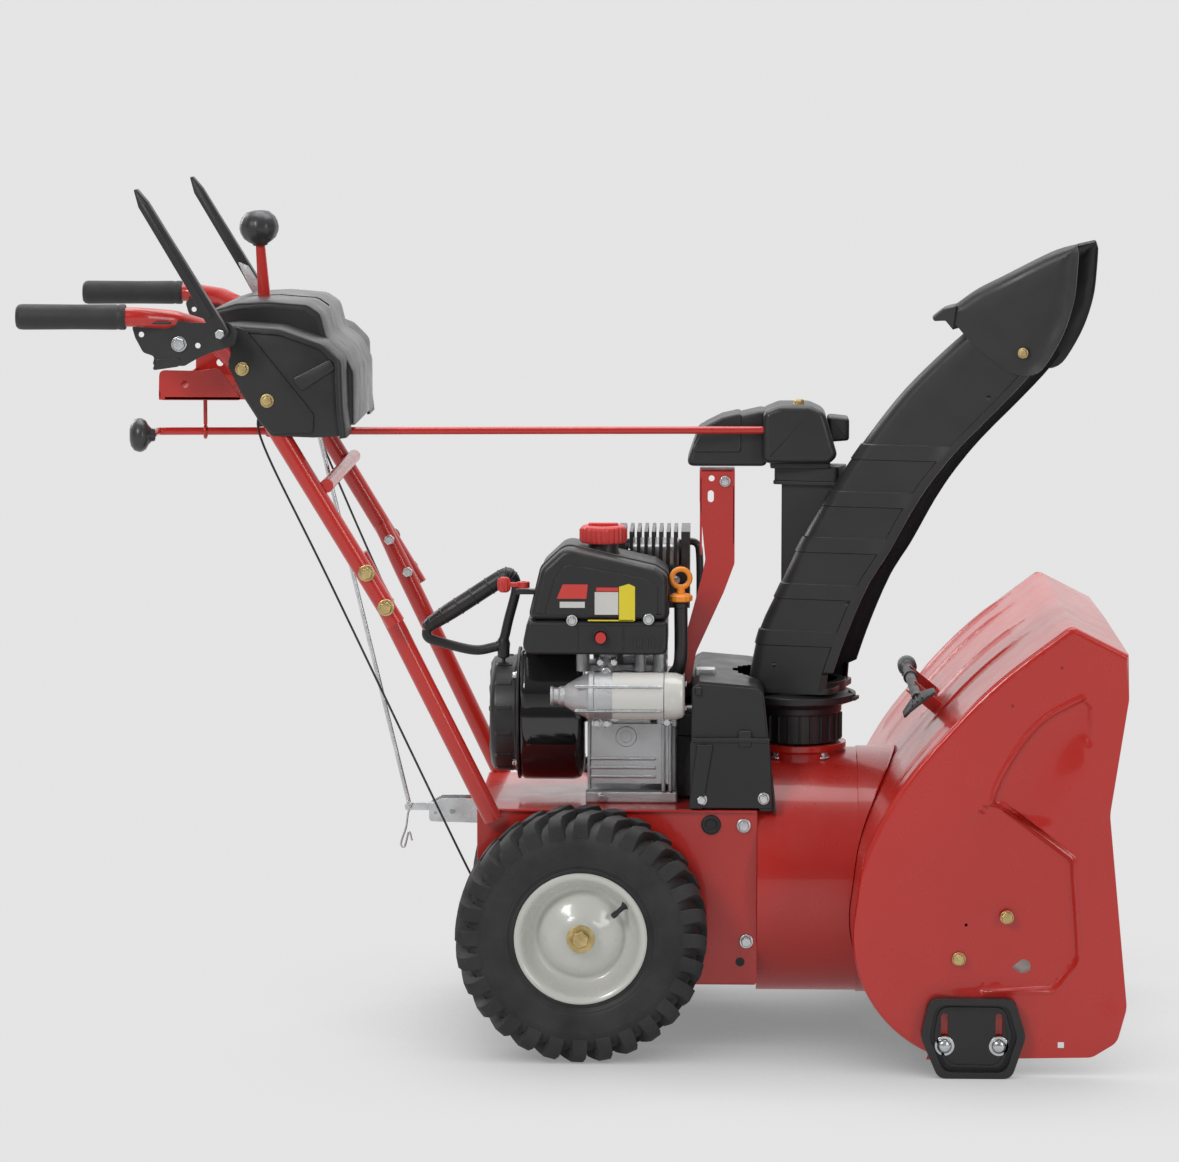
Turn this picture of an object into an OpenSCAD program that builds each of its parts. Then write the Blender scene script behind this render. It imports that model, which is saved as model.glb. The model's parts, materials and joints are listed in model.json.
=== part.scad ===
// Two-stage walk-behind snow blower with a 24 inch auger housing, a single-cylinder engine,
// a friction-disc drive and a hand-cranked discharge chute. Millimetres, +X forward, +Y to the
// machine's left, +Z up. The origin is on the ground under the middle of the whole machine.
// Inside place(), X is counted from the wheel axle.

/* [Wheels] */
// Outer radius of the tyres
tyre_r = 165; // [160:1:168]
// Width of one tyre
tyre_w = 102; // [96:1:104]
// Distance from the middle plane to a tyre's middle
wheel_y = 208; // [206:1:214]
// Lugs in each of a tyre's two rows
lug_count = 28; // [16:2:32]
// Radius of a wheel rim's outer lip
rim_r = 87; // [82:1:90]
// Radius of the wheel axle
axle_r = 9.5; // [8:0.5:11]

/* [Auger housing] */
// Half of the housing's width over its side plates
housing_half = 305; // [290:1:320]
// Height of the auger shaft
auger_z = 181; // [175:1:186]
// Distance from the wheel axle to the auger shaft
auger_x = 518.6; // [510:0.1:525]
// Outer radius of the auger flights
auger_r = 150; // [130:1:155]
// Outer radius of the impeller drum
drum_r = 166; // [160:1:168]
// Height of the impeller shaft
impeller_z = 214; // [210:1:218]
// Thickness of the housing's sheet steel
sheet = 3; // [2:0.5:3]

/* [Chute] */
// Distance from the wheel axle to the chute's turning axis
chute_x = 287; // [284:1:290]
// Direction of the chute at rest, from straight ahead
chute_turn = -15; // [-30:1:30]
// Radius of the round passage into the chute
mouth_r = 50; // [44:1:50]
// Half of the chute's width over its side walls
chute_half = 70; // [66:1:70]
// Wall thickness of the chute
chute_wall = 4; // [3:0.5:5]

/* [Chassis and handles] */
// Half of the chassis' width over its side walls
frame_half = 145; // [143:1:146]
// Radius of the handle tubes
tube_r = 12.5; // [11:0.5:12.5]
// Radius of the rubber grips
grip_r = 16; // [15:0.5:17]
// Height of the grips
grip_z = 975; // [970:1:980]
// Distance from the middle plane to a grip
grip_y = 293; // [290:1:296]
// Thickness of the control panel's skin
panel_wall = 4; // [3:0.5:5]

/* [Engine] */
// Height of the crankshaft
crank_z = 425; // [423:1:427]
// Radius of the blower housing around the flywheel
blower_r = 90; // [88:1:91]
// Radius of the electric starter's body
starter_r = 31; // [28:1:32]
// Radius of the fuel cap
cap_r = 31; // [26:1:32]

/* [Hidden] */
$fn = 48;

// The axle stands this far ahead of the origin, which centres the whole machine on the origin
axle_x = 6.5;
run = 0.05;           // radial clearance of a running fit
seat = 0.1;           // radial clearance of a fixed bush in its hole
bush_r = 16;          // outer radius of the axle and auger bushes
small_bush_r = 14;    // outer radius of the hex shaft's and drive plate's bushes
nose_bush_r = 18;     // outer radius of the impeller shaft's bush
small_shaft_r = 8;    // round ends of the hex shaft, and the drive plate's shaft
frame_rear = -140;
frame_front = 230;
frame_low = 85;
frame_top = 318;
hex_x = 40;
hex_z = 232;
friction_r = 62;
friction_y = -18;     // rest place of the friction wheel, in reverse
hand_y = 216;         // handle tubes' distance from the middle plane, under the panel
shift_pivot = [-419, 0, 810];
shift_tilt = -3.84;
deflector_pin = [315, 922];
rod_start = [258, -44, 811.8];
rod_end = [-553, -174, 819.3];
lever_pivot = [-456, 954];
lever_tilt = -30.6;
shoe_bolts = [[470, 41], [540, 41]];
bearing_bolts = [[549, 208], [488, 153]];
joint_bolts = [[-278, 640], [-253, 595]];

// Rear outline of the auger housing, from the bottom up: a round stretch about the auger shaft,
// then a long curve up to the top corner, then the top's forward slope
wrap_r = 167;
wrap_arc = [for (a = [246 : -6 : 168]) [auger_x + wrap_r * cos(a), auger_z + wrap_r * sin(a)]];
wrap = concat(wrap_arc, [[368, 288], [411, 373], [474, 451], [537, 515], [627, 585], [700, 548]]);
side_front = [[701, 490], [679, 342], [704, 90], [692, 45], [660, 25], [447, 21]];

// Discharge chute, as distance ahead of its turning axis and height
spine = [[-60, 466], [-44, 542], [-17, 601], [16, 671], [57, 740], [97, 799], [147, 864], [196, 914],
    [236, 950]];
lips = [[344, 922], [320, 890], [283, 850], [225, 790], [178, 728], [137, 655], [110, 612], [85, 555], [63, 493], [58, 466]];
hood = [[218, 981], [249, 1003], [282, 1020], [347, 1053], [382, 1064]];
hood_side = [[384, 1031], [381, 991], [368, 951], [349, 915], [333, 895], [311, 893], [271, 915], [224, 958]];

// Control panel's skin, from its rear edge over the top and down the front
panel_mid = [[-463, 950], [-463, 982], [-454, 988], [-424, 989], [-374, 985], [-357, 976], [-345, 957],
    [-339, 933], [-315, 920], [-300, 904], [-294, 887], [-294, 826]];
panel_end = [[-435, 932], [-433, 946], [-422, 954], [-372, 950], [-350, 930], [-322, 908], [-301, 888],
    [-294, 868], [-294, 813]];
panel_step = 150;
panel_half = 234;

function unit(v) = v / norm(v);
function side_of(p, i) = let (a = p[max(i - 1, 0)], b = p[min(i + 1, len(p) - 1)], d = unit(b - a)) [d[1], -d[0]];
// An open line moved sideways by t, to the right of its direction
function shifted(p, t) = [for (i = [0 : len(p) - 1]) p[i] + t * side_of(p, i)];
function but_last(p) = [for (i = [0 : len(p) - 2]) p[i]];
function reversed(p) = [for (i = [len(p) - 1 : -1 : 0]) p[i]];
// The closed outline of a sheet of thickness t that follows a line
function sheet_of(p, t) = concat(p, reversed(shifted(p, t)));

module place() {
    translate([axle_x, 0, 0]) children();
}

module box(low, high) {
    translate(low) cube(high - low);
}

// A round bar between two points
module bar(a, b, r) {
    v = b - a;
    translate(a) rotate([0, acos(v[2] / norm(v)), atan2(v[1], v[0])]) cylinder(h = norm(v), r = r);
}

// A round bar along X, at (y, z)
module bar_x(x0, x1, r, y, z) {
    translate([x0, y, z]) rotate([0, 90, 0]) cylinder(h = x1 - x0, r = r);
}

// A round bar along Y, at (x, z)
module bar_y(y0, y1, r, x, z) {
    translate([x, y1, z]) rotate([90, 0, 0]) cylinder(h = y1 - y0, r = r);
}

// A flat shape drawn in X and Z, from y0 to y1
module slab(points, y0, y1) {
    translate([0, y1, 0]) rotate([90, 0, 0]) linear_extrude(y1 - y0) polygon(points);
}

module both_sides() {
    children();
    mirror([0, 1, 0]) children();
}

// A bent tube through a list of points, with a slightly fuller ball at each bend
knuckle = 0.3;
module bent_tube(points, r) {
    for (i = [1 : len(points) - 1]) bar(points[i - 1], points[i], r);
    for (i = [1 : len(points) - 2]) translate(points[i]) sphere(r = r + knuckle);
}

// A bolt along +Y at (x, z): its hexagonal head starts at y and its shank runs back
module bolt_y(x, z, y, head_r, head_h, shank_r, shank) {
    translate([x, y, z]) rotate([-90, 0, 0]) cylinder(h = head_h, r = head_r, $fn = 6);
    bar_y(y - shank, y, shank_r, x, z);
}

// ---------- chassis and drive ----------

module chassis_wall() {
    outline = [[frame_rear, frame_top], [frame_rear, 236], [-104, frame_low], [frame_front, frame_low],
        [frame_front, frame_top]];
    difference() {
        slab(outline, frame_half - sheet, frame_half);
        bar_y(frame_half - 6, frame_half + 1, bush_r + seat, 0, tyre_r);
        bar_y(frame_half - 6, frame_half + 1, small_bush_r + seat, hex_x, hex_z);
    }
}

module chassis_frame() color("firebrick") place() {
    inside = frame_half - sheet;
    both_sides() chassis_wall();
    difference() {
        box([frame_rear, -inside, frame_top - sheet], [frame_front, inside, frame_top]);
        box([140, -78, frame_top - 10], [225, 78, frame_top + 10]);
    }
    difference() {
        box([frame_front - sheet, -inside, frame_low], [frame_front, inside, frame_top - sheet]);
        bar_x(frame_front - 9, frame_front + 1, nose_bush_r + seat, 0, impeller_z);
    }
    box([frame_rear, -inside, 236], [frame_rear + sheet, inside, frame_top - sheet]);
    difference() {
        box([128, -inside, 190], [132, inside, 290]);
        bar_x(120, 140, small_bush_r + seat, 0, hex_z);
    }
    // Guide rod of the shift fork
    bar_y(-inside, inside, 5, hex_x, 305);
    // Ears and pin that carry the shift arm
    both_sides() box([-162, 10, 286], [frame_rear, 14, 306]);
    bar_y(-14, 14, 4, -154, 296);
}

module bottom_cover() color("firebrick") place() {
    box([-100, -frame_half + 5, frame_low - sheet], [frame_front - 2, frame_half - 5, frame_low]);
}

module bush_y(x, z, y, outer, inner) {
    difference() {
        bar_y(y - 6, y + 6, outer, x, z);
        bar_y(y - 7, y + 7, inner + run, x, z);
    }
}

module bush_x(x0, x1, z, outer, inner) {
    difference() {
        bar_x(x0, x1, outer, 0, z);
        bar_x(x0 - 1, x1 + 1, inner + run, 0, z);
    }
}

module shaft_bearings() color("dimgray") place() {
    both_sides() {
        bush_y(0, tyre_r, frame_half - 1.5, bush_r, axle_r);
        bush_y(hex_x, hex_z, frame_half - 1.5, small_bush_r, small_shaft_r);
        bush_y(auger_x, auger_z, housing_half - 1.5, bush_r, axle_r);
    }
    bush_x(frame_front - 6, frame_front + 9, impeller_z, nose_bush_r, axle_r);
    bush_x(125, 135, hex_z, small_bush_r, small_shaft_r);
}

// Solid axle with its hub bolts, washers and large drive gear
module wheel_axle() color("silver") place() {
    gear_r = 62;
    bar_y(-250, 250, axle_r, 0, tyre_r);
    both_sides() {
        bar_y(250, 252, 17, 0, tyre_r);
        translate([0, 252, tyre_r]) rotate([-90, 0, 0]) cylinder(h = 7, r = 10, $fn = 6);
    }
    bar_y(98, 110, gear_r, 0, tyre_r);
}

// Pressed steel rim: barrel, rolled lips, dished disc and hub tube
module rim() {
    half = 44;
    profile = [[axle_r + run, 20], [axle_r + run, 40], [22, 40], [34, 34], [38, 18], [60, 14], [66, 22], [70, 40],
        [rim_r - 3, half + 2], [rim_r, half], [rim_r, half - 3], [77, half - 6], [76, 8], [70, 0], [76, -8],
        [77, 6 - half], [rim_r, 3 - half], [rim_r, -half], [rim_r - 3, -half - 2], [70, -40], [62, -4],
        [58, 8], [34, 12], [28, -36], [axle_r + run, -36]];
    translate([0, wheel_y, tyre_r]) rotate([-90, 0, 0]) rotate_extrude($fn = 64) polygon(profile);
}

module rims() color("gainsboro") place() {
    both_sides() rim();
}

module tyre() {
    half = tyre_w / 2;
    crown = tyre_r - 12;
    bead = [[77.4, -36], [88, -39], [105, 3 - half], [125, -half], [142, 5 - half], [crown, 14 - half]];
    profile = concat(bead, reversed([for (p = bead) [p[0], -p[1]]]));
    lug_w = 18;
    lug_l = half - 5;
    translate([0, wheel_y, tyre_r]) rotate([-90, 0, 0]) {
        rotate_extrude($fn = 64) polygon(profile);
        intersection() {
            translate([0, 0, -half]) cylinder(h = tyre_w, r = tyre_r, $fn = 64);
            for (i = [0 : lug_count - 1], row = [0, 1])
                rotate([0, 0, 90 + (i + row / 2) * 360 / lug_count])
                    translate([crown - 4, -lug_w / 2, row * (half + 1) - half + 2]) cube([20, lug_w, lug_l]);
        }
    }
}

module tyres() color("#202020") place() {
    both_sides() tyre();
}

// Hexagonal shaft with round ends and a pinion that drives the axle's gear
module hex_shaft() color("silver") place() {
    pinion_r = norm([hex_x, hex_z - tyre_r]) - 62.5;
    bar_y(-146, 146, small_shaft_r, hex_x, hex_z);
    translate([hex_x, 96, hex_z]) rotate([90, 0, 0]) cylinder(h = 220, r = 10, $fn = 6);
    bar_y(96, 112, pinion_r, hex_x, hex_z);
}

// Rubber-rimmed wheel that slides along the hexagonal shaft
module friction_wheel() color("#303030") place() {
    difference() {
        union() {
            bar_y(friction_y - 6, friction_y + 6, friction_r, hex_x, hex_z);
            bar_y(friction_y - 12, friction_y + 8, 20, hex_x, hex_z);
            bar_y(friction_y - 18, friction_y - 12, 14, hex_x, hex_z);
            bar_y(friction_y - 22, friction_y - 18, 20, hex_x, hex_z);
        }
        translate([hex_x, friction_y + 9, hex_z]) rotate([90, 0, 0]) cylinder(h = 40, r = 10.4, $fn = 6);
    }
}

// Fork that sits in the friction wheel's groove and slides on its guide rod
module shift_fork() color("silver") place() {
    difference() {
        box([hex_x - 18, friction_y - 17.5, 216], [hex_x + 18, friction_y - 12.5, 312]);
        bar_y(friction_y - 20, friction_y - 10, 14.5, hex_x, hex_z);
        box([hex_x - 14.5, friction_y - 20, 200], [hex_x + 14.5, friction_y - 10, hex_z]);
        bar_y(friction_y - 20, friction_y - 10, 5 + run, hex_x, 305);
    }
}

// Disc that the friction wheel runs against, with its shaft and pulley
module drive_plate() color("silver") place() {
    bar_x(102.4, 110, 75, 0, hex_z);
    bar_x(109, 168, small_shaft_r, 0, hex_z);
    bar_x(149, 165, 47.5, 0, hex_z);
    bar_x(149, 151, 54, 0, hex_z);
    bar_x(163, 165, 54, 0, hex_z);
}

// One belt around two pulleys whose grooves have radii r1 and r2
module belt(x0, x1, z1, r1, z2, r2) {
    thick = 8;
    gap = 0.4;
    translate([x0, 0, 0]) rotate([90, 0, 90]) linear_extrude(x1 - x0) difference() {
        hull() {
            translate([0, z1]) circle(r = r1 + gap + thick);
            translate([0, z2]) circle(r = r2 + gap + thick);
        }
        hull() {
            translate([0, z1]) circle(r = r1 + gap);
            translate([0, z2]) circle(r = r2 + gap);
        }
    }
}

module belts() color("#202020") place() {
    belt(152, 162, crank_z, 29.5, hex_z, 47.5);
    belt(179, 190, crank_z, 29.5, impeller_z, 74);
}

// ---------- auger housing ----------

module housing_shell() color("firebrick") place() {
    difference() {
        slab(sheet_of(wrap, sheet), sheet - housing_half, housing_half - sheet);
        bar_x(330, 440, drum_r - sheet, 0, impeller_z);
    }
    both_sides() tool_clip();
}

// Clip on the housing that holds the clean-out tool
tool_x = 438;
tool_z = 470;
tool_lift = 51;       // the tool lifts off square to the housing's rear face
module tool_clip() {
    difference() {
        translate([tool_x, 72, tool_z]) rotate([0, tool_lift - 90, 0]) box([-10, 0, -42], [10, 4, 8]);
        translate([tool_x, 72, tool_z]) rotate([0, tool_lift - 90, 0]) {
            bar_y(-1, 5, 7.4, 0, 0);
            box([-7.4, -1, 0], [7.4, 5, 12]);
        }
        slab(concat(wrap, [[700, 200], [500, 100]]), 60, 90);
    }
}

module side_plate() {
    difference() {
        slab(concat(wrap, side_front), housing_half - sheet, housing_half);
        bar_y(housing_half - 5, housing_half + 1, bush_r + seat, auger_x, auger_z);
        for (p = concat(shoe_bolts, bearing_bolts)) bar_y(housing_half - 5, housing_half + 1, 4.2, p[0], p[1]);
        box([616, housing_half - 5, 37], [624, housing_half + 1, 45]);
    }
}

module side_plate_right() color("firebrick") place() {
    mirror([0, 1, 0]) side_plate();
}

module side_plate_left() color("firebrick") place() {
    side_plate();
}

module shave_plate() color("firebrick") place() {
    slab([[449, 24], [452, 27], [490, 8], [487, 5]], -housing_half + 6, housing_half - 6);
}

// Moulded shoe: a floor with two upright slots inside a raised rim
module skid_shoe() {
    outline = [[462, 0], [556, 0], [574, 55], [559, 104], [450, 104], [439, 54]];
    floor_line = [[468, 10], [550, 10], [563, 55], [551, 94], [458, 94], [450, 54]];
    difference() {
        slab(outline, housing_half, housing_half + 18);
        slab(floor_line, housing_half + 6, housing_half + 19);
        for (p = shoe_bolts) {
            for (z = [p[1] + 6, p[1] + 38]) bar_y(housing_half - 1, housing_half + 8, 4.5, p[0], z);
            box([p[0] - 4.5, housing_half - 1, p[1] + 6], [p[0] + 4.5, housing_half + 8, p[1] + 38]);
            bar_y(housing_half - 1, housing_half + 8, 4.5, p[0], p[1]);
            box([p[0] - 4.5, housing_half - 1, p[1]], [p[0] + 4.5, housing_half + 8, p[1] + 6]);
        }
    }
}

module skid_shoes() color("#262626") place() {
    both_sides() skid_shoe();
}

module housing_bolts() color("goldenrod") place() {
    both_sides() {
        for (p = shoe_bolts) bolt_y(p[0], p[1], housing_half + 6, 9, 6, 4, 14);
        for (p = bearing_bolts) bolt_y(p[0], p[1], housing_half, 8, 5, 4, 8);
    }
}

// Drum around the impeller, cut where it meets the auger housing, with the chute's seat on top
module impeller_housing() color("firebrick") place() {
    difference() {
        union() {
            bar_x(frame_front, 430, drum_r, 0, impeller_z);
            translate([chute_x, 0, 360]) cylinder(h = 30, r = mouth_r + 8);
        }
        bar_x(frame_front + sheet, 431, drum_r - sheet, 0, impeller_z);
        bar_x(frame_front - 1, 240, nose_bush_r + seat, 0, impeller_z);
        translate([chute_x, 0, 300]) cylinder(h = 100, r = mouth_r);
        slab(concat(wrap, [[700, 100], [500, 10]]), -200, 200);
    }
}

// Impeller shaft with its belt pulley at the rear and the worm at the front
module impeller_shaft() color("silver") place() {
    bar_x(172, 545, axle_r, 0, impeller_z);
    bar_x(177, 192, 74, 0, impeller_z);
    bar_x(176.5, 178.5, 82, 0, impeller_z);
    bar_x(190.5, 192.5, 82, 0, impeller_z);
    bar_x(498, 540, 12, 0, impeller_z);
}

module impeller() color("firebrick") place() {
    difference() {
        union() {
            bar_x(244, 300, 22, 0, impeller_z);
            translate([0, 0, impeller_z]) for (a = [0 : 90 : 270])
                rotate([a + 20, 0, 0]) box([248, -2, 18], [342, 2, 150]);
        }
        bar_x(240, 310, axle_r + run, 0, impeller_z);
    }
}

// Gearbox in the middle of the auger shaft: a wheel case and a worm case, both hollow
module gearbox_casing() color("#3a3a3a") place() {
    difference() {
        union() {
            bar_y(-24, 24, 38, auger_x, auger_z);
            bar_x(440, 562, 24, 0, impeller_z);
        }
        bar_y(-19, 19, 32, auger_x, auger_z);
        bar_x(446, 556, 18, 0, impeller_z);
        bar_y(-30, 30, axle_r + run, auger_x, auger_z);
        bar_x(430, 450, axle_r + run, 0, impeller_z);
    }
}

module auger_shaft() color("silver") place() {
    bar_y(-312, 312, axle_r, auger_x, auger_z);
    bar_y(-8, 8, 20.4, auger_x, auger_z);
}

// One half of the auger: a sleeve, two ribbons that wind around it and the arms that carry them
module auger_half() {
    from = 30;
    to = 292;
    turns = 0.9;
    steps = 24;
    rotate([-90, 0, 0]) {
        difference() {
            translate([0, 0, from]) cylinder(h = to - from, r = 16);
            translate([0, 0, from - 1]) cylinder(h = to - from + 2, r = axle_r + run);
        }
        for (start = [0, 180]) {
            translate([0, 0, from + 4]) linear_extrude(height = to - from - 8, twist = 360 * turns, slices = steps, $fn = 16)
                rotate([0, 0, start]) translate([auger_r - 32, -6]) square([32, 12]);
            for (k = [0.12, 0.5, 0.88])
                translate([0, 0, from + 4 + k * (to - from - 8)]) rotate([0, 0, start - 360 * turns * k])
                    translate([12, -2, -8]) cube([auger_r - 28, 4, 16]);
        }
    }
}

module auger_flights() color("#2a2a2a") place() {
    translate([auger_x, 0, auger_z]) both_sides() auger_half();
}

// ---------- engine ----------

module engine_block() color("silver") place() {
    difference() {
        union() {
            both_sides() box([2, 50, frame_top], [124, 92, frame_top + 7]);
            box([4, -80, frame_top + 7], [121, 62, 480]);
            box([10, -100, 345], [112, -80, 425]);
            box([44, -106, 452], [98, -80, 484]);
            bar([62, 15, 430], [62, 112, 527], 38);
            // Carburettor, held out behind its cover
            box([10, -18, 470], [50, -2, 558]);
            box([0, -100, 532], [60, -10, 558]);
            for (k = [3 : 9]) translate([62, 15 + 10 * k, 430 + 10 * k]) rotate([-45, 0, 0])
                cylinder(h = 3, r = 47);
        }
        bar_x(0, 130, 14, 0, crank_z);
        bar([85, 92, 515], [85, 92, 572], 14 + seat);
    }
}

// Crankshaft with the flywheel behind the engine and the two-groove pulley ahead of it
module crankshaft() color("silver") place() {
    bar_x(-92, 196, 12.5, 0, crank_z);
    bar_x(-76, -42, 78, 0, crank_z);
    bar_x(149, 193, 29.5, 0, crank_z);
    for (x = [148.5, 163, 176, 191.5]) bar_x(x, x + 2, 35, 0, crank_z);
}

module blower_housing() color("#181818") place() {
    difference() {
        bar_x(-87, -1, blower_r, 0, crank_z);
        bar_x(-88, -6, blower_r - 4, 0, crank_z);
        bar_x(-10, 0, 14, 0, crank_z);
    }
}

// Cup with air slots, which carries the recoil reel on a post
reel_x = -110;
rope_y = -32.4;
module recoil_cover() color("#202020") place() {
    cup = 78;
    difference() {
        union() {
            bar_x(-127, -87, cup, 0, crank_z);
            bar_x(-91, -87.2, blower_r - 1, 0, crank_z);
        }
        bar_x(-123, -86, cup - 4, 0, crank_z);
        translate([0, 0, crank_z]) for (a = [0 : 30 : 330]) rotate([a, 0, 0])
            box([-128, -3, 34], [-120, 3, 68]);
        translate([reel_x, rope_y, crank_z]) cylinder(h = 90, r = 4);
    }
    bar_x(-124, -98, 6, 0, crank_z);
}

module recoil_reel() color("#303030") place() {
    difference() {
        union() {
            bar_x(reel_x - 6, reel_x + 6, 29.5, 0, crank_z);
            for (x = [reel_x - 7, reel_x + 5]) bar_x(x, x + 2, 34, 0, crank_z);
        }
        bar_x(reel_x - 9, reel_x + 9, 6 + run, 0, crank_z);
    }
}

// Tilted loop handle, its stem and the rope's straight stretch inside the cover
module recoil_handle() color("#202020") place() {
    outer = [[-219, 541], [-213, 551], [-108, 619], [-94, 616], [-86, 606], [-87, 590], [-103, 527], [-112, 514],
        [-150, 507], [-208, 521], [-218, 530]];
    inner = [[-201, 543], [-108, 603], [-100, 598], [-101, 588], [-116, 531], [-122, 526], [-150, 520], [-198, 532]];
    bar([reel_x, rope_y, 362], [reel_x, rope_y, 506], 2.5);
    bar([reel_x, rope_y, 504], [reel_x, rope_y, 530], 8);
    difference() {
        slab(outer, rope_y - 8, rope_y + 8);
        slab(inner, rope_y - 9, rope_y + 9);
    }
}

choke = [-80, -96];
primer = [23, 545];
tank_line = [[-72, 567], [-56, 634], [-24, 664], [94, 637], [111, 626], [111, 567]];
tank_room = [[-66, 571], [-52, 631], [-23, 659], [93, 633], [107, 623], [107, 571]];
cap_x = 24.5;
cap_y = -60;
neck_r = 20;
module fuel_tank() color("#1c1c1c") place() {
    difference() {
        union() {
            slab(tank_line, -130, 8);
            translate([cap_x, cap_y, 640]) cylinder(h = 30, r = neck_r);
        }
        slab(tank_room, -126, 4);
        translate([cap_x, cap_y, 630]) cylinder(h = 50, r = neck_r - 4);
    }
    // Ear and pin of the choke lever
    box([choke[0] - 8, choke[1] - 8, 598], [-61, choke[1] + 8, 604]);
    translate([choke[0], choke[1], 598]) cylinder(h = 18, r = 3);
}

module fuel_cap() color("firebrick") place() {
    translate([cap_x, cap_y, 0]) {
        difference() {
            translate([0, 0, 663]) cylinder(h = 23, r = cap_r);
            translate([0, 0, 662]) cylinder(h = 9, r = neck_r + 0.4);
        }
        translate([0, 0, 655]) cylinder(h = 17, r = neck_r - 4.5);
    }
}

module carburettor_cover() color("#1c1c1c") place() {
    difference() {
        slab([[-83, 521], [-74, 566], [111, 566], [111, 521]], -130, -20);
        slab([[-78, 525], [-70, 562], [107, 562], [107, 525]], -126, -19);
        bar_y(-131, -120, 7 + run, primer[0], primer[1]);
    }
}

module primer_button() color("red") place() {
    bar_y(-133.5, -118, 7, primer[0], primer[1]);
}

// Lever on a vertical pin at the rear of the tank
module choke_lever() color("firebrick") place() {
    difference() {
        translate([choke[0], choke[1], 606]) cylinder(h = 8, r = 8);
        translate([choke[0], choke[1], 605]) cylinder(h = 10, r = 3 + run);
    }
    box([choke[0] - 26, choke[1] - 4, 607], [choke[0] - 7, choke[1] + 4, 613]);
    translate([choke[0] - 26, choke[1], 600]) cylinder(h = 20, r = 8);
}

module muffler() color("gray") place() {
    box([48, 50, 566], [130, 148, 648]);
    bar([85, 92, 520], [85, 92, 570], 14);
}

// Slotted steel guard over the muffler
module muffler_guard() color("#202020") place() {
    difference() {
        box([42, 44, 562], [139, 156, 666]);
        box([45, 47, 560], [136, 153, 663]);
        for (x = [52 : 10 : 124]) box([x, 40, 620], [x + 5, 160, 680]);
    }
}

module starter_motor() color("silver") place() {
    y = -138;
    z = 468;
    bar_x(-43, -20, 13, y, z);
    translate([-22, y, z]) rotate([0, 90, 0]) cylinder(h = 34, r1 = 14, r2 = starter_r - 1);
    bar_x(10, 134, starter_r, y, z);
}

module dipstick_tube() color("#202020") place() {
    difference() {
        union() {
            translate([128, -100, 506]) cylinder(h = 82, r = 9);
            bar([112, -70, 474], [128, -100, 512], 9);
        }
        translate([128, -100, 512]) cylinder(h = 80, r = 6);
        box([100, -120, 440], [121, -60, 480]);
    }
}

module dipstick() color("orange") place() {
    translate([128, -100, 0]) {
        translate([0, 0, 516]) cylinder(h = 76, r = 4.5);
        translate([0, 0, 588.5]) cylinder(h = 11, r = 15);
        translate([0, 0, 620]) rotate([90, 0, 0]) rotate_extrude() translate([12, 0]) circle(r = 3.5);
        translate([0, 0, 598]) cylinder(h = 10, r = 5);
    }
}

// ---------- belt cover and chute drive ----------

module belt_cover() color("#202020") place() {
    half = frame_half + 1;
    difference() {
        slab([[143, frame_top + 0.5], [143, 478], [150, 486], [236, 479], [252, 312], [230.5, 312],
            [230.5, frame_top + 0.5]], -half, half);
        box([147, 8 - half, 300], [199, half - 8, 477]);
        both_sides() box([198, 100, 352], [234, half - 6, 470]);
        translate([chute_x, 0, 300]) cylinder(h = 200, r = 84);
        bar_x(229, 260, drum_r + 1, 0, impeller_z);
        bar_x(140, 150, 14.5, 0, crank_z);
    }
}

// Bent bracket from the engine up to the chute's control head
module chute_bracket() color("firebrick") place() {
    web = [[152, 757], [199, 757], [199, 632], [185, 594], [148, 512], [141, 470], [127, 470], [129, 517],
        [155, 612], [160, 637], [152, 717]];
    slab(web, -33, -28);
    box([152, -33, 754], [199, 10, 758]);
    box([152, -28, 640], [157, -8, 754]);
    difference() {
        box([121.5, -56, 440], [127, -4, 492]);
        bar_x(120, 130, 14.5, 0, crank_z);
    }
}

module control_head() color("#2c2c2c") place() {
    rear = [[133, 759], [150, 812], [176, 824], [239, 839], [239, 759]];
    front = [[239, 768], [239, 839], [258, 844], [300, 844], [316, 836], [334, 776], [326, 768]];
    difference() {
        union() {
            slab(rear, -34, 44);
            slab(front, -58, 44);
            box([326, -26, 794], [351, 26, 829]);
        }
        translate([chute_x, 0, 760]) cylinder(h = 42, r = 8 + run);
        bar(rod_end, rod_start + 2 * unit(rod_start - rod_end), 5 + run);
    }
    translate([284, -20, 843]) cylinder(h = 5, r = 8, $fn = 6);
}

// The turned frame of the chute: X along the throw, Y across it
module chute_frame() {
    translate([chute_x, 0, 0]) rotate([0, 0, chute_turn]) children();
}

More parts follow.
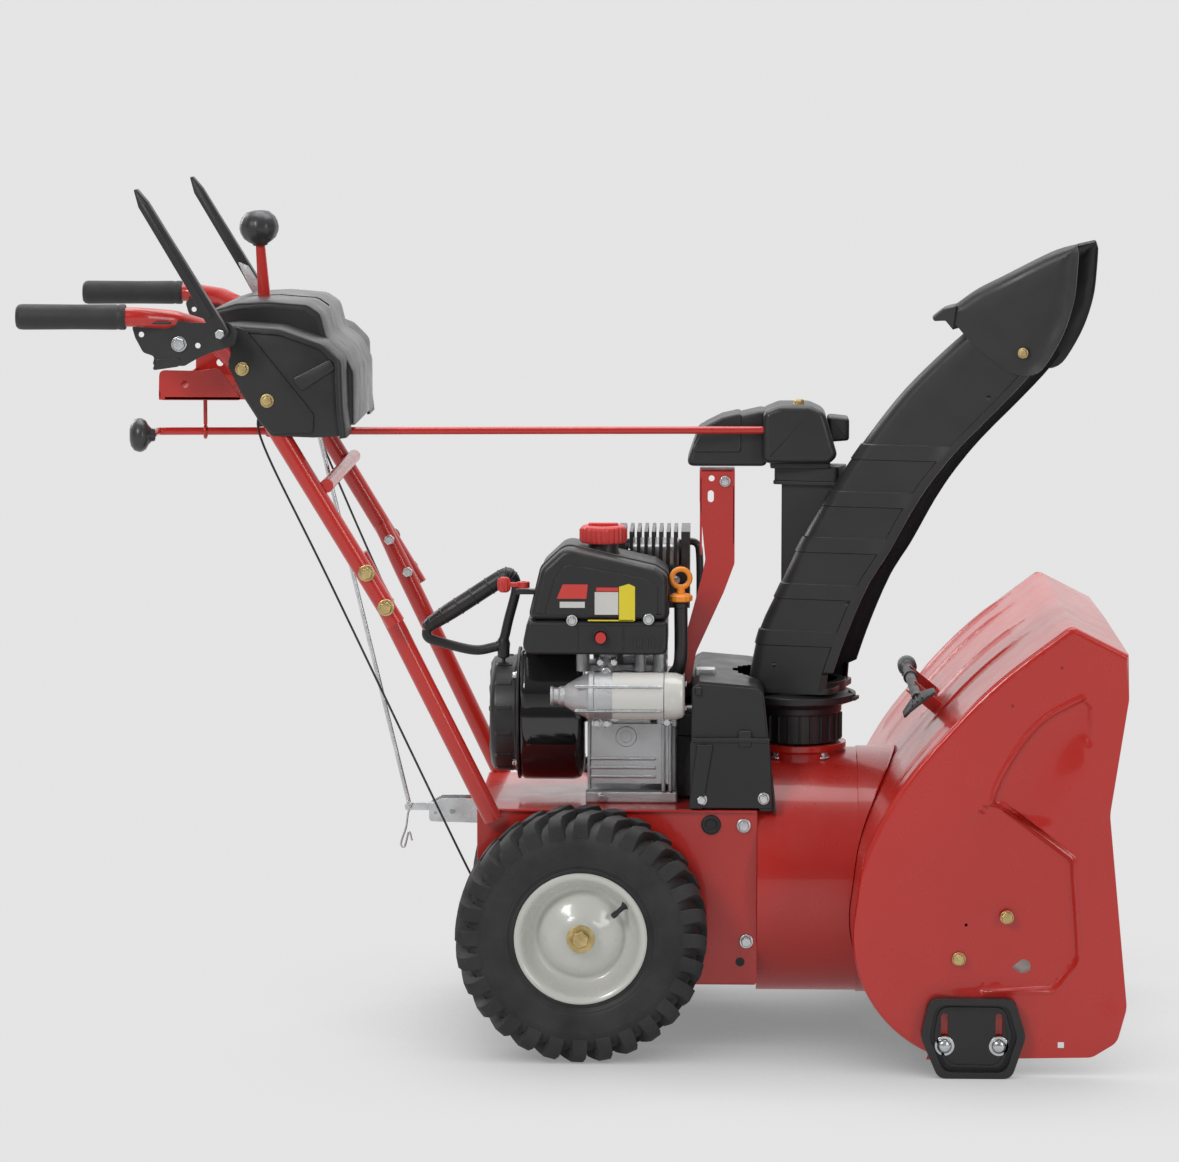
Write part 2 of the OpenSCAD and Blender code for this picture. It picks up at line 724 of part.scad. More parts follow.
// Chute: neck and flange, open-fronted channel, post and spindle, and the deflector's pins
module chute_lower() color("#1c1c1c") place() chute_frame() {
    inner = chute_half - chute_wall;
    foot_r = 82;
    foot_h = 26;
    difference() {
        union() {
            translate([0, 0, 391]) cylinder(h = 80, r = mouth_r + 5);
            translate([0, 0, 446]) cylinder(h = 10, r = 76);
            translate([0, 0, 462]) cylinder(h = 6, r = foot_r);
        }
        translate([0, 0, 380]) cylinder(h = 100, r = mouth_r);
    }
    // The channel's walls, with its corners cut round where they turn above the belt cover
    difference() {
        union() {
            both_sides() slab(concat(spine, lips), inner, chute_half);
            slab(sheet_of(spine, chute_wall), -inner - 1, inner + 1);
            slab([[50, 466], [55, 466], [92, 562], [87, 562]], -inner - 1, inner + 1);
        }
        translate([0, 0, 464]) difference() {
            cylinder(h = foot_h, r = 130);
            translate([0, 0, -1]) cylinder(h = foot_h + 2, r = foot_r);
        }
    }
    intersection() {
        translate([0, 0, 464]) difference() {
            cylinder(h = foot_h, r = foot_r);
            translate([0, 0, -1]) cylinder(h = foot_h + 2, r = foot_r - chute_wall);
        }
        box([-60, -chute_half, 464], [58, chute_half, 464 + foot_h]);
    }
    slab([[-20, 596], [-20, 740], [58, 740], [57, 738], [16, 669]], -3, 3);
    box([-32, -28, 737], [59, 28, 762]);
    translate([0, 0, 760]) cylinder(h = 36, r = 8);
    both_sides() {
        bar_y(inner, 76, 4, deflector_pin[0], deflector_pin[1]);
        bar_y(74.6, 79.6, 8, deflector_pin[0], deflector_pin[1]);
    }
}

module chute_deflector() color("#1c1c1c") place() chute_frame() {
    outer = chute_half + 4;
    both_sides() difference() {
        slab(concat(hood, hood_side), chute_half + 1, outer);
        bar_y(chute_half, outer + 1, 4 + run, deflector_pin[0], deflector_pin[1]);
    }
    slab(sheet_of(hood, 3), -outer, outer);
    slab([[218, 981], [221, 979], [208, 958], [205, 960]], -outer, outer);
}

// ---------- handles and controls ----------

module joint_holes() {
    both_sides() for (p = joint_bolts) bar_y(150, 240, 4 + seat, p[0], p[1]);
}

module lower_handles() color("firebrick") place() {
    difference() {
        both_sides() bar([-118, 158, 306], [-290, 186, 660], tube_r);
        joint_holes();
    }
}

module upper_handles() color("firebrick") place() {
    difference() {
        both_sides() bent_tube([[-241, 212, 573], [-445, hand_y, 910], [-484, 240, 957], [-518, 270, 970],
            [-560, grip_y, grip_z], [-700, grip_y, grip_z]], tube_r);
        joint_holes();
    }
    bar_y(-216, 216, 9, -330, 752);
}

module handle_bolts() color("goldenrod") place() {
    both_sides() for (p = joint_bolts) bolt_y(p[0], p[1], 225.5, 9, 6, 4, 58);
}

module grips() color("#181818") place() {
    both_sides() difference() {
        bar_x(-717, -578, grip_r, grip_y, grip_z);
        bar_x(-701, -577, tube_r + seat, grip_y, grip_z);
    }
}

module control_panel() color("#303234") place() {
    end_wall = [[-435, 906], [-433, 946], [-422, 954], [-372, 950], [-350, 930], [-322, 908], [-301, 888],
        [-294, 868], [-294, 813], [-352, 812], [-375, 824]];
    step_wall = concat(but_last(panel_mid), reversed(but_last(shifted(panel_end, panel_wall))));
    difference() {
        slab(sheet_of(panel_mid, panel_wall), -panel_step, panel_step);
        box([-453, -9, 940], [-345, 9, 1000]);
    }
    both_sides() {
        slab(sheet_of(panel_end, panel_wall), panel_step, panel_half);
        slab(end_wall, panel_half - panel_wall, panel_half);
        slab(step_wall, panel_step - panel_wall, panel_step);
    }
}

// Tray between the handle tubes: it carries the shift lever's pin and the crank rod's eye
module panel_bracket() color("firebrick") place() {
    inside = hand_y - tube_r - 2;
    eye_x = -492;
    along = (eye_x - rod_end[0]) / (rod_start[0] - rod_end[0]);
    eye = rod_end + along * (rod_start - rod_end);
    difference() {
        box([-546, -inside, 862], [-400, inside, 866]);
        box([-440, -12, 860], [-390, 12, 870]);
    }
    both_sides() box([-546, inside - 4, 866], [-452, inside, 900]);
    both_sides() box([-429, 12, 798], [-409, 16, 866]);
    bar_y(-16, 16, 4, shift_pivot[0], shift_pivot[2]);
    difference() {
        translate(eye) rotate([0, 90, 0]) translate([0, 0, -3]) cylinder(h = 6, r = 10);
        bar(rod_end, rod_start, 5.8);
    }
    bar(eye + [0, 0, 9], [eye[0], eye[1], 863], 3);
}

module lever_brackets() color("#202020") place() {
    plate = [[-573, 955], [-569, 944], [-550, 921], [-485, 930], [-440, 938], [-436, 955], [-446, 967],
        [-466, 967], [-478, 955]];
    both_sides() {
        slab(plate, 278, 281);
        bar_y(270, 306, 5, lever_pivot[0], lever_pivot[1]);
        bar_y(243, 288, 6, -512, 938);
    }
}

module cables() color("#202020") place() {
    bent_tube([[-420, -178, 850], [-416, -178, 806], [-156, -128, 232], [-143, -126, 226]], 1.5);
    bent_tube([[-378, 100, 850], [-372, 100, 800], [-160, 100, 330], [-141.5, 100, 290]], 1.5);
}

// A clutch lever beside and above its grip, drawn upright and then tilted back
module clutch_lever() {
    translate([lever_pivot[0], 0, lever_pivot[1]]) rotate([0, lever_tilt, 0]) difference() {
        union() {
            bar_y(284, 304, 12, 0, 0);
            box([-7, 284, 0], [7, 304, 205]);
            bar_y(284, 304, 7, 0, 205);
        }
        bar_y(280, 310, 5 + run, 0, 0);
    }
}

module lever_right() color("#202020") place() {
    mirror([0, 1, 0]) clutch_lever();
}

module lever_left() color("#202020") place() {
    clutch_lever();
}

// Speed lever: a flat bar with a ball at the top and an arm for the shift rod
module shift_lever() color("firebrick") place() {
    arm_up = 25.4;
    translate(shift_pivot) {
        difference() {
            union() {
                bar_y(-8, 8, 13, 0, 0);
                rotate([0, shift_tilt, 0]) box([-7, -4, 9], [7, 4, 252]);
                rotate([0, -arm_up, 0]) box([9, -4, -5], [60, 4, 5]);
            }
            bar_y(-10, 10, 4 + run, 0, 0);
        }
        rotate([0, shift_tilt, 0]) translate([0, 0, 268]) rotate_extrude()
            polygon([[0, -21], [14, -21], [23, -13], [26, 0], [23, 13], [14, 21], [0, 23]]);
    }
}

module shift_rod() color("silver") place() {
    bar([-369, 10, 834], [-240, 10, 294], 3);
}

module shift_arm() color("silver") place() {
    difference() {
        union() {
            bar_y(-8, 8, 9, -154, 296);
            box([-246, -6, 291], [-158, 6, 301]);
        }
        bar_y(-10, 10, 4 + run, -154, 296);
    }
}

// Hand crank of the chute: a long rod, a bent arm and a turning knob
module crank_rod() color("firebrick") place() {
    back = unit(rod_end - rod_start);
    arm = rod_end + [0, -58, 0];
    bar(rod_start, rod_end + 3 * back, 5);
    bar(rod_end + [0, 5, 0], arm - [0, 5, 0], 5.6);
    translate(arm) rotate([0, acos(back[2]), atan2(back[1], back[0])]) rotate_extrude()
        polygon([[0, -4], [7, -4], [9, 2], [18, 7], [21.5, 15], [19, 24], [10, 29], [0, 29]]);
}

// Plastic shovel for clearing the chute, clipped across the back of the auger housing
module cleanout_tool() color("#202020") place() {
    translate([tool_x, 0, tool_z]) rotate([0, tool_lift - 90, 0]) {
        bar_y(-160, 150, 7, 0, 0);
        bar_y(130, 165, 13, 0, 0);
        bar_y(30, 40, 10, 0, 0);
        box([-26, -215, -3], [26, -152, 3]);
    }
}

chassis_frame();
bottom_cover();
impeller_housing();
housing_shell();
side_plate_right();
side_plate_left();
shave_plate();
skid_shoes();
housing_bolts();
shaft_bearings();
gearbox_casing();
engine_block();
blower_housing();
recoil_cover();
fuel_tank();
carburettor_cover();
muffler();
muffler_guard();
starter_motor();
dipstick_tube();
belt_cover();
belts();
chute_bracket();
control_head();
lower_handles();
upper_handles();
handle_bolts();
grips();
control_panel();
panel_bracket();
lever_brackets();
cables();
wheel_axle();
rims();
tyres();
hex_shaft();
friction_wheel();
shift_fork();
drive_plate();
crankshaft();
recoil_reel();
impeller_shaft();
impeller();
auger_shaft();
auger_flights();
lever_right();
lever_left();
shift_lever();
shift_rod();
shift_arm();
chute_lower();
chute_deflector();
crank_rod();
fuel_cap();
dipstick();
choke_lever();
primer_button();
recoil_handle();
cleanout_tool();
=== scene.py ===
"""Looks of the snow blower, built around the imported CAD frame.

Shapes are drawn in millimetres, with X counted from the wheel axle, and piece() turns them into
metres in the row frame.
"""

import json  # noqa: E402
import math  # noqa: E402

import bmesh  # noqa: E402
import bpy  # noqa: E402
from mathutils import Matrix, Vector  # noqa: E402
from mathutils.geometry import delaunay_2d_cdt  # noqa: E402


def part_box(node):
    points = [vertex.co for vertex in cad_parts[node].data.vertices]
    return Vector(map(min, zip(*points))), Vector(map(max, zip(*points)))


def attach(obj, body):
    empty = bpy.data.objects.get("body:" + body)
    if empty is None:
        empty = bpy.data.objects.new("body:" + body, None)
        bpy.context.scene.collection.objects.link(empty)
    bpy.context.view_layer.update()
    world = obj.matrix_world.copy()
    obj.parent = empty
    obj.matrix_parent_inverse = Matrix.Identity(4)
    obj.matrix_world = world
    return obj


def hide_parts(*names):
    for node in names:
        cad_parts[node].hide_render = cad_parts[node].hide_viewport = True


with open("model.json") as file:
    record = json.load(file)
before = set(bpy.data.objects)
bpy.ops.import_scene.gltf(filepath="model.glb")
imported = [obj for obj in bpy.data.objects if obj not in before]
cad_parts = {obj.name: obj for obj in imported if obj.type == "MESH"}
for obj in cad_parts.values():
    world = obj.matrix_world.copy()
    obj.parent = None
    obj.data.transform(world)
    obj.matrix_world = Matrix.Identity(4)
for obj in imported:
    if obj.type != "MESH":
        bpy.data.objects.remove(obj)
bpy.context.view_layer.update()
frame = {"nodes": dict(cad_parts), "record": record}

MM = 0.001
axle_low, axle_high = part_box("wheel_axle")
AXLE_X = (axle_low.x + axle_high.x) / 2
TO_ROW = Matrix.Translation((AXLE_X, 0, 0)) @ Matrix.Scale(MM, 4)


def at(x, y, z):
    """A point in the row frame, from millimetres with X counted from the axle."""
    return TO_ROW @ Vector((x, y, z))


# ---------------------------------------------------------------- camera, light, floor

BACKDROP = 0.78


def make_camera():
    yaw, pitch = math.radians(-1.709), math.radians(6.868)
    ahead = Vector((math.sin(yaw) * math.cos(pitch), math.cos(yaw) * math.cos(pitch), -math.sin(pitch)))
    data = bpy.data.cameras.new("camera")
    data.sensor_width = 36
    data.lens = 4342 / 1179 * 36
    data.clip_end = 100
    camera = bpy.data.objects.new("camera", data)
    bpy.context.scene.collection.objects.link(camera)
    camera.location = at(177.16, -5795, 1302)
    camera.rotation_mode = "QUATERNION"
    camera.rotation_quaternion = ahead.to_track_quat("-Z", "Y")
    bpy.context.scene.camera = camera
    bpy.context.scene.view_settings.view_transform = "Standard"


def make_world():
    """A white studio: the backdrop's flat grey for the camera, brighter above for the light."""
    world = bpy.data.worlds.new("studio")
    bpy.context.scene.world = world
    world.use_nodes = True
    nodes, links = world.node_tree.nodes, world.node_tree.links
    nodes.clear()
    out = nodes.new("ShaderNodeOutputWorld")
    mix = nodes.new("ShaderNodeMixShader")
    path = nodes.new("ShaderNodeLightPath")
    flat = nodes.new("ShaderNodeBackground")
    flat.inputs["Color"].default_value = (BACKDROP, BACKDROP, BACKDROP, 1)
    dome = nodes.new("ShaderNodeBackground")
    coord = nodes.new("ShaderNodeTexCoord")
    split = nodes.new("ShaderNodeSeparateXYZ")
    ramp = nodes.new("ShaderNodeValToRGB")
    ramp.color_ramp.elements[0].position = 0.0
    ramp.color_ramp.elements[0].color = (0.45, 0.45, 0.45, 1)
    ramp.color_ramp.elements[1].position = 0.75
    ramp.color_ramp.elements[1].color = (0.95, 0.95, 0.97, 1)
    links.new(coord.outputs["Generated"], split.inputs[0])
    links.new(split.outputs["Z"], ramp.inputs[0])
    links.new(ramp.outputs[0], dome.inputs["Color"])
    behind = nodes.new("ShaderNodeMapRange")
    behind.inputs["From Min"].default_value = -0.3
    behind.inputs["From Max"].default_value = 0.9
    behind.inputs["To Min"].default_value = 0.26
    behind.inputs["To Max"].default_value = 1.6
    links.new(split.outputs["Y"], behind.inputs["Value"])
    links.new(behind.outputs["Result"], dome.inputs["Strength"])
    links.new(path.outputs["Is Camera Ray"], mix.inputs[0])
    links.new(dome.outputs[0], mix.inputs[1])
    links.new(flat.outputs[0], mix.inputs[2])
    links.new(mix.outputs[0], out.inputs[0])


def area_light(name, place, target, size, power):
    data = bpy.data.lights.new(name, "AREA")
    data.shape = "RECTANGLE"
    data.size, data.size_y = size
    data.energy = power
    light = bpy.data.objects.new(name, data)
    bpy.context.scene.collection.objects.link(light)
    light.location = Vector(place)
    light.rotation_mode = "QUATERNION"
    light.rotation_quaternion = (Vector(target) - Vector(place)).to_track_quat("-Z", "Y")


def make_lights():
    middle = (0.1, 0, 0.5)
    area_light("key", (-1.9, -3.2, 2.7), middle, (1.1, 1.1), 62)
    area_light("fill", (2.6, -3.0, 1.6), middle, (0.8, 1.8), 24)
    area_light("top", (0.2, 0.3, 3.4), middle, (3.2, 2.2), 70)
    area_light("rim", (-2.6, 2.4, 2.2), middle, (1.2, 1.8), 34)


def backdrop_glow_painted_shadow():
    """The backdrop's grey all over the floor as a glow, with a painted shadow: darkened only where the
    machine stands close above it.
    """
    mat = bpy.data.materials.new("backdrop_glow_painted_shadow")
    mat.use_nodes = True
    nodes, links = mat.node_tree.nodes, mat.node_tree.links
    nodes.clear()
    out = nodes.new("ShaderNodeOutputMaterial")
    glow = nodes.new("ShaderNodeEmission")
    # painted shadow: ambient occlusion darkens the glowing floor's colour under and around the machine
    near = nodes.new("ShaderNodeAmbientOcclusion")
    near.samples = 12
    near.inputs["Distance"].default_value = 0.35
    shade = nodes.new("ShaderNodeMapRange")
    shade.inputs["From Min"].default_value = 0.1
    shade.inputs["From Max"].default_value = 0.95
    shade.inputs["To Min"].default_value = BACKDROP * 0.30
    shade.inputs["To Max"].default_value = BACKDROP
    links.new(near.outputs["AO"], shade.inputs["Value"])
    links.new(shade.outputs["Result"], glow.inputs["Color"])
    links.new(glow.outputs[0], out.inputs["Surface"])
    return mat


def make_floor():
    bm = bmesh.new()
    reach = 30
    corners = [bm.verts.new((x * reach, y * reach, 0)) for x, y in ((-1, -1), (1, -1), (1, 1), (-1, 1))]
    bm.faces.new(corners)
    mesh = bpy.data.meshes.new("floor")
    bm.to_mesh(mesh)
    bm.free()
    floor = bpy.data.objects.new("floor", mesh)
    bpy.context.scene.collection.objects.link(floor)
    floor.data.materials.append(backdrop_glow_painted_shadow())


# ---------------------------------------------------------------- materials

def finish(name, colour, rough=0.5, metal=0.0, coat=0.0, tone=0.05, tone_size=7.0, spread=0.08,
           grain=900.0, bump=0.05, wear=0.0, wear_colour=(0.5, 0.5, 0.5), dust=0.0, fleck=0.0, sheen=0.0):
    """A surface whose tone and roughness vary, with a fine grain, worn edges and a little dust."""
    mat = bpy.data.materials.new(name)
    mat.use_nodes = True
    nodes, links = mat.node_tree.nodes, mat.node_tree.links
    shader = nodes["Principled BSDF"]
    shader.inputs["Metallic"].default_value = metal
    shader.inputs["Coat Weight"].default_value = coat
    shader.inputs["Coat Roughness"].default_value = 0.06
    shader.inputs["Sheen Weight"].default_value = sheen
    coord = nodes.new("ShaderNodeTexCoord")

    def noise(scale, detail=3.0):
        n = nodes.new("ShaderNodeTexNoise")
        n.inputs["Scale"].default_value = scale
        n.inputs["Detail"].default_value = detail
        links.new(coord.outputs["Object"], n.inputs["Vector"])
        return n.outputs["Fac"]

    def remap(value, low, high, to_low, to_high):
        n = nodes.new("ShaderNodeMapRange")
        n.inputs["From Min"].default_value = low
        n.inputs["From Max"].default_value = high
        n.inputs["To Min"].default_value = to_low
        n.inputs["To Max"].default_value = to_high
        links.new(value, n.inputs["Value"])
        return n.outputs["Result"]

    def blend(factor, a, b):
        n = nodes.new("ShaderNodeMix")
        n.data_type = "RGBA"
        links.new(factor, n.inputs["Factor"])
        for socket, value in ((n.inputs[6], a), (n.inputs[7], b)):
            if isinstance(value, tuple):
                socket.default_value = (*value, 1)
            else:
                links.new(value, socket)
        return n.outputs[2]

    def maths(operation, a, b):
        n = nodes.new("ShaderNodeMath")
        n.operation = operation
        n.use_clamp = True
        for socket, value in zip(n.inputs, (a, b)):
            if isinstance(value, (int, float)):
                socket.default_value = value
            else:
                links.new(value, socket)
        return n.outputs[0]

    dark = tuple(c * (1 - tone) for c in colour)
    light = tuple(min(c * (1 + tone), 1.0) for c in colour)
    base = blend(remap(noise(tone_size, 5), 0.35, 0.65, 0, 1), dark, light)
    if fleck:
        base = blend(remap(noise(grain / 2, 2), 0.62, 0.75, 0, fleck), base,
                     tuple(min(c * 2.2 + 0.03, 1) for c in colour))
    if wear:
        edge = nodes.new("ShaderNodeBevel")
        edge.samples = 4
        edge.inputs["Radius"].default_value = 1.6 * MM
        flat = nodes.new("ShaderNodeNewGeometry")
        dot = nodes.new("ShaderNodeVectorMath")
        dot.operation = "DOT_PRODUCT"
        links.new(edge.outputs["Normal"], dot.inputs[0])
        links.new(flat.outputs["Normal"], dot.inputs[1])
        turned_away = remap(dot.outputs["Value"], 0.985, 0.8, 0, 1)
        broken = remap(noise(130, 4), 0.52, 0.66, 0, wear)
        base = blend(maths("MULTIPLY", turned_away, broken), base, wear_colour)
    if dust:
        shape = nodes.new("ShaderNodeNewGeometry")
        split = nodes.new("ShaderNodeSeparateXYZ")
        links.new(shape.outputs["Normal"], split.inputs[0])
        upward = remap(split.outputs["Z"], 0.2, 1.0, 0, dust)
        settled = maths("MULTIPLY", upward, remap(noise(22, 5), 0.4, 0.65, 0.2, 1))
        base = blend(settled, base, (0.5, 0.48, 0.45))
    links.new(base, shader.inputs["Base Color"])
    links.new(remap(noise(26, 4), 0.3, 0.7, max(rough - spread, 0.03), min(rough + spread, 1)),
              shader.inputs["Roughness"])
    relief = nodes.new("ShaderNodeBump")
    relief.inputs["Strength"].default_value = min(bump * 6, 1)
    relief.inputs["Distance"].default_value = bump * MM * 4
    links.new(noise(grain, 2), relief.inputs["Height"])
    links.new(relief.outputs[0], shader.inputs["Normal"])
    return mat


RED = (0.48, 0.016, 0.010)
BLACK = (0.018, 0.018, 0.0195)


def make_materials():
    scuffed = (0.10, 0.10, 0.10)
    return {
        "red": finish("red_enamel", RED, rough=0.30, coat=0.45, tone=0.05, tone_size=4, spread=0.05,
                      grain=260, bump=0.012, wear=0.35, wear_colour=(0.62, 0.16, 0.12), dust=0.05),
        "black": finish("moulded_plastic", BLACK, rough=0.42, tone=0.16, grain=1500, bump=0.05,
                        wear=0.3, wear_colour=scuffed, dust=0.05),
        "gloss": finish("gloss_black", (0.006, 0.006, 0.007), rough=0.13, coat=0.7, tone=0.2, spread=0.04,
                        grain=300, bump=0.006, dust=0.02),
        "black_paint": finish("black_enamel", (0.018, 0.018, 0.019), rough=0.36, coat=0.25, tone=0.15,
                              grain=420, bump=0.02, wear=0.3, wear_colour=scuffed, dust=0.04),
        "panel": finish("panel_plastic", (0.030, 0.031, 0.033), rough=0.33, coat=0.08, tone=0.1, grain=1700,
                        bump=0.03,
                        wear=0.2, wear_colour=scuffed, dust=0.04),
        "red_plastic": finish("red_plastic", (0.55, 0.035, 0.03), rough=0.36, tone=0.08, grain=1300,
                              bump=0.02, wear=0.3, wear_colour=(0.7, 0.25, 0.2)),
        "tyre": finish("tyre_rubber", (0.024, 0.024, 0.025), rough=0.74, tone=0.22, tone_size=16, spread=0.12,
                       grain=750, bump=0.12, wear=0.45, wear_colour=(0.075, 0.073, 0.07), dust=0.12,
                       fleck=0.2),
        "rubber": finish("grip_rubber", (0.017, 0.017, 0.018), rough=0.62, tone=0.2, grain=1100, bump=0.1,
                         wear=0.25, wear_colour=(0.06, 0.06, 0.06), sheen=0.1),
        "rim": finish("rim_enamel", (0.60, 0.60, 0.56), rough=0.30, coat=0.5, tone=0.03, grain=300, bump=0.01,
                      wear=0.25, wear_colour=(0.42, 0.41, 0.38), dust=0.04),
        "cast": finish("cast_aluminium", (0.50, 0.51, 0.52), rough=0.46, metal=0.85, tone=0.10, grain=700,
                       bump=0.16, wear=0.5, wear_colour=(0.75, 0.75, 0.76), fleck=0.15),
        "steel": finish("bare_steel", (0.46, 0.46, 0.47), rough=0.32, metal=0.95, tone=0.10, grain=420,
                        bump=0.04, wear=0.3, wear_colour=(0.7, 0.7, 0.7)),
        "zinc": finish("zinc_plate", (0.62, 0.64, 0.65), rough=0.28, metal=0.9, tone=0.12, tone_size=60,
                       grain=500, bump=0.03, wear=0.3, wear_colour=(0.4, 0.4, 0.4)),
        "gold": finish("yellow_zinc", (0.58, 0.44, 0.20), rough=0.32, metal=0.85, tone=0.22, tone_size=90,
                       grain=500, bump=0.03, wear=0.3, wear_colour=(0.45, 0.42, 0.38)),
        "iron": finish("cast_iron", (0.05, 0.05, 0.05), rough=0.6, metal=0.4, tone=0.2, grain=500, bump=0.15,
                       wear=0.3, wear_colour=(0.2, 0.2, 0.2)),
        "orange": finish("orange_plastic", (0.85, 0.27, 0.02), rough=0.38, tone=0.06, grain=1200, bump=0.02),
        "label_white": finish("label_film", (0.62, 0.61, 0.58), rough=0.45, tone=0.05, grain=600, bump=0.01),
        "label_yellow": finish("label_yellow", (0.75, 0.62, 0.03), rough=0.4, tone=0.05, grain=600,
                               bump=0.01),
        "label_red": finish("label_red", (0.62, 0.05, 0.04), rough=0.4, tone=0.05, grain=600, bump=0.01),
        "cord": finish("black_sheath", (0.02, 0.02, 0.021), rough=0.45, tone=0.2, grain=900, bump=0.05),
    }


# ---------------------------------------------------------------- outlines and curves

def spline(points, steps=6):
    """A smooth line through the points."""
    pts = [Vector(p) for p in points]
    pts = [2 * pts[0] - pts[1]] + pts + [2 * pts[-1] - pts[-2]]
    line = []
    for a, b, c, d in zip(pts, pts[1:], pts[2:], pts[3:]):
        for k in range(steps):
            t = k / steps
            line.append(0.5 * (2 * b + (c - a) * t + (2 * a - 5 * b + 4 * c - d) * t ** 2
                               + (3 * b - a - 3 * c + d) * t ** 3))
    return line + [pts[-2]]


def fillet(points, radius, steps=4, closed=True):
    """The points with their corners rounded; radius is a number or one per point."""
    pts = [Vector(p) for p in points]
    n = len(pts)
    radii = list(radius) if isinstance(radius, (list, tuple)) else [radius] * n
    line = []
    for i, p in enumerate(pts):
        if not closed and i in (0, n - 1) or radii[i] <= 0:
            line.append(p)
            continue
        a, b = pts[i - 1] - p, pts[(i + 1) % n] - p
        half = a.angle(b) / 2
        reach = min(radii[i] / max(math.tan(half), 0.05), a.length * 0.49, b.length * 0.49)
        start, end = p + a.normalized() * reach, p + b.normalized() * reach
        for k in range(steps + 1):
            t = k / steps
            line.append(start * (1 - t) ** 2 + 2 * p * t * (1 - t) + end * t ** 2)
    return line


def lengths(line):
    total = [0.0]
    for a, b in zip(line, line[1:]):
        total.append(total[-1] + (b - a).length)
    return total


def along(line, share):
    """The point at a share, from 0 to 1, of the line's length."""
    total = lengths(line)
    s = min(max(share, 0), 1) * total[-1]
    for i in range(len(line) - 1):
        if s <= total[i + 1] or i == len(line) - 2:
            step = total[i + 1] - total[i] or 1
            return line[i].lerp(line[i + 1], min((s - total[i]) / step, 1))


def resampled(line, count):
    return [along(line, k / (count - 1)) for k in range(count)]


def circle(x, z, r, steps=24):
    return [Vector((x + r * math.cos(2 * math.pi * k / steps), z + r * math.sin(2 * math.pi * k / steps)))
            for k in range(steps)]


def slot_outline(x, z0, z1, r):
    """An upright slot with round ends."""
    turns = [math.pi * k / 6 for k in range(7)]
    top = [Vector((x + r * math.cos(a), z1 + r * math.sin(a))) for a in turns]
    low = [Vector((x - r * math.cos(a), z0 - r * math.sin(a))) for a in turns]
    return top + low


def x_at(line, z):
    """X of an upright line at height z."""
    for a, b in zip(line, line[1:]):
        if (a[1] - z) * (b[1] - z) <= 0 and a[1] != b[1]:
            return a[0] + (b[0] - a[0]) * (z - a[1]) / (b[1] - a[1])
    return line[0][0] if abs(z - line[0][1]) < abs(z - line[-1][1]) else line[-1][0]


def inside(p, polygon):
    hit = False
    for a, b in zip(polygon, polygon[1:] + polygon[:1]):
        if (a[1] > p[1]) != (b[1] > p[1]) and p[0] < (b[0] - a[0]) * (p[1] - a[1]) / (b[1] - a[1]) + a[0]:
            hit = not hit
    return hit


def distance(p, a, b):
    """From a point to the stretch between a and b."""
    ab = b - a
    t = max(0, min(1, (p - a).dot(ab) / max(ab.length_squared, 1e-12)))
    return (p - a - ab * t).length


def distance_to(p, line):
    return min(distance(p, a, b) for a, b in zip(line, line[1:]))


def rise(value, start, end):
    """0 before start, 1 after end, and smooth between."""
    t = max(0, min(1, (value - start) / (end - start)))
    return t * t * (3 - 2 * t)


# ---------------------------------------------------------------- solids

def loft(bm, rings, caps=True):
    """Skin over rings of points, which all have the same number."""
    rows = [[bm.verts.new(p) for p in ring] for ring in rings]
    count = len(rows[0])
    for a, b in zip(rows, rows[1:]):
        for k in range(count):
            j = (k + 1) % count
            bm.faces.new((a[k], a[j], b[j], b[k]))
    if caps:
        bm.faces.new(list(reversed(rows[0])))
        bm.faces.new(rows[-1])
    return rows


def prism(bm, outline, y0, y1):
    """An outline in X and Z, from y0 to y1."""
    loft(bm, [[Vector((p[0], y, p[1])) for p in outline] for y in (y0, y1)])


def prism_x(bm, outline, x0, x1):
    """An outline in Y and Z, from x0 to x1."""
    loft(bm, [[Vector((x, p[0], p[1])) for p in outline] for x in (x0, x1)])


def prism_z(bm, outline, z0, z1):
    """An outline in X and Y, from z0 to z1."""
    loft(bm, [[Vector((p[0], p[1], z)) for p in outline] for z in (z0, z1)])


def block(bm, low, high):
    prism_z(bm, [(low[0], low[1]), (high[0], low[1]), (high[0], high[1]), (low[0], high[1])], low[2], high[2])


def basis(axis):
    """Two directions square to the axis."""
    axis = Vector(axis).normalized()
    side = axis.cross(Vector((0, 0, 1))) if abs(axis.z) < 0.9 else axis.cross(Vector((1, 0, 0)))
    side.normalize()
    return side, axis.cross(side)


def turned(bm, profile, centre, axis, steps=32, closed=False, wave=None):
    """A profile of (radius, distance along the axis) turned about the axis."""
    axis = Vector(axis).normalized()
    side, up = basis(axis)
    rings = []
    for k in range(steps):
        a = 2 * math.pi * k / steps
        out = side * math.cos(a) + up * math.sin(a)
        rings.append([Vector(centre) + out * (r + (wave(a, r, h) if wave else 0)) + axis * h for r,
                      h in profile])
    rows = [[bm.verts.new(p) for p in ring] for ring in rings]
    for k in range(steps):
        a, b = rows[k], rows[(k + 1) % steps]
        for i in range(len(profile) if closed else len(profile) - 1):
            j = (i + 1) % len(profile)
            bm.faces.new((a[i], b[i], b[j], a[j]))
    if not closed:
        bm.faces.new([row[0] for row in reversed(rows)])
        bm.faces.new([row[-1] for row in rows])


def rod(bm, a, b, r, steps=20):
    a, b = Vector(a), Vector(b)
    turned(bm, [(r, 0), (r, (b - a).length)], a, b - a, steps)


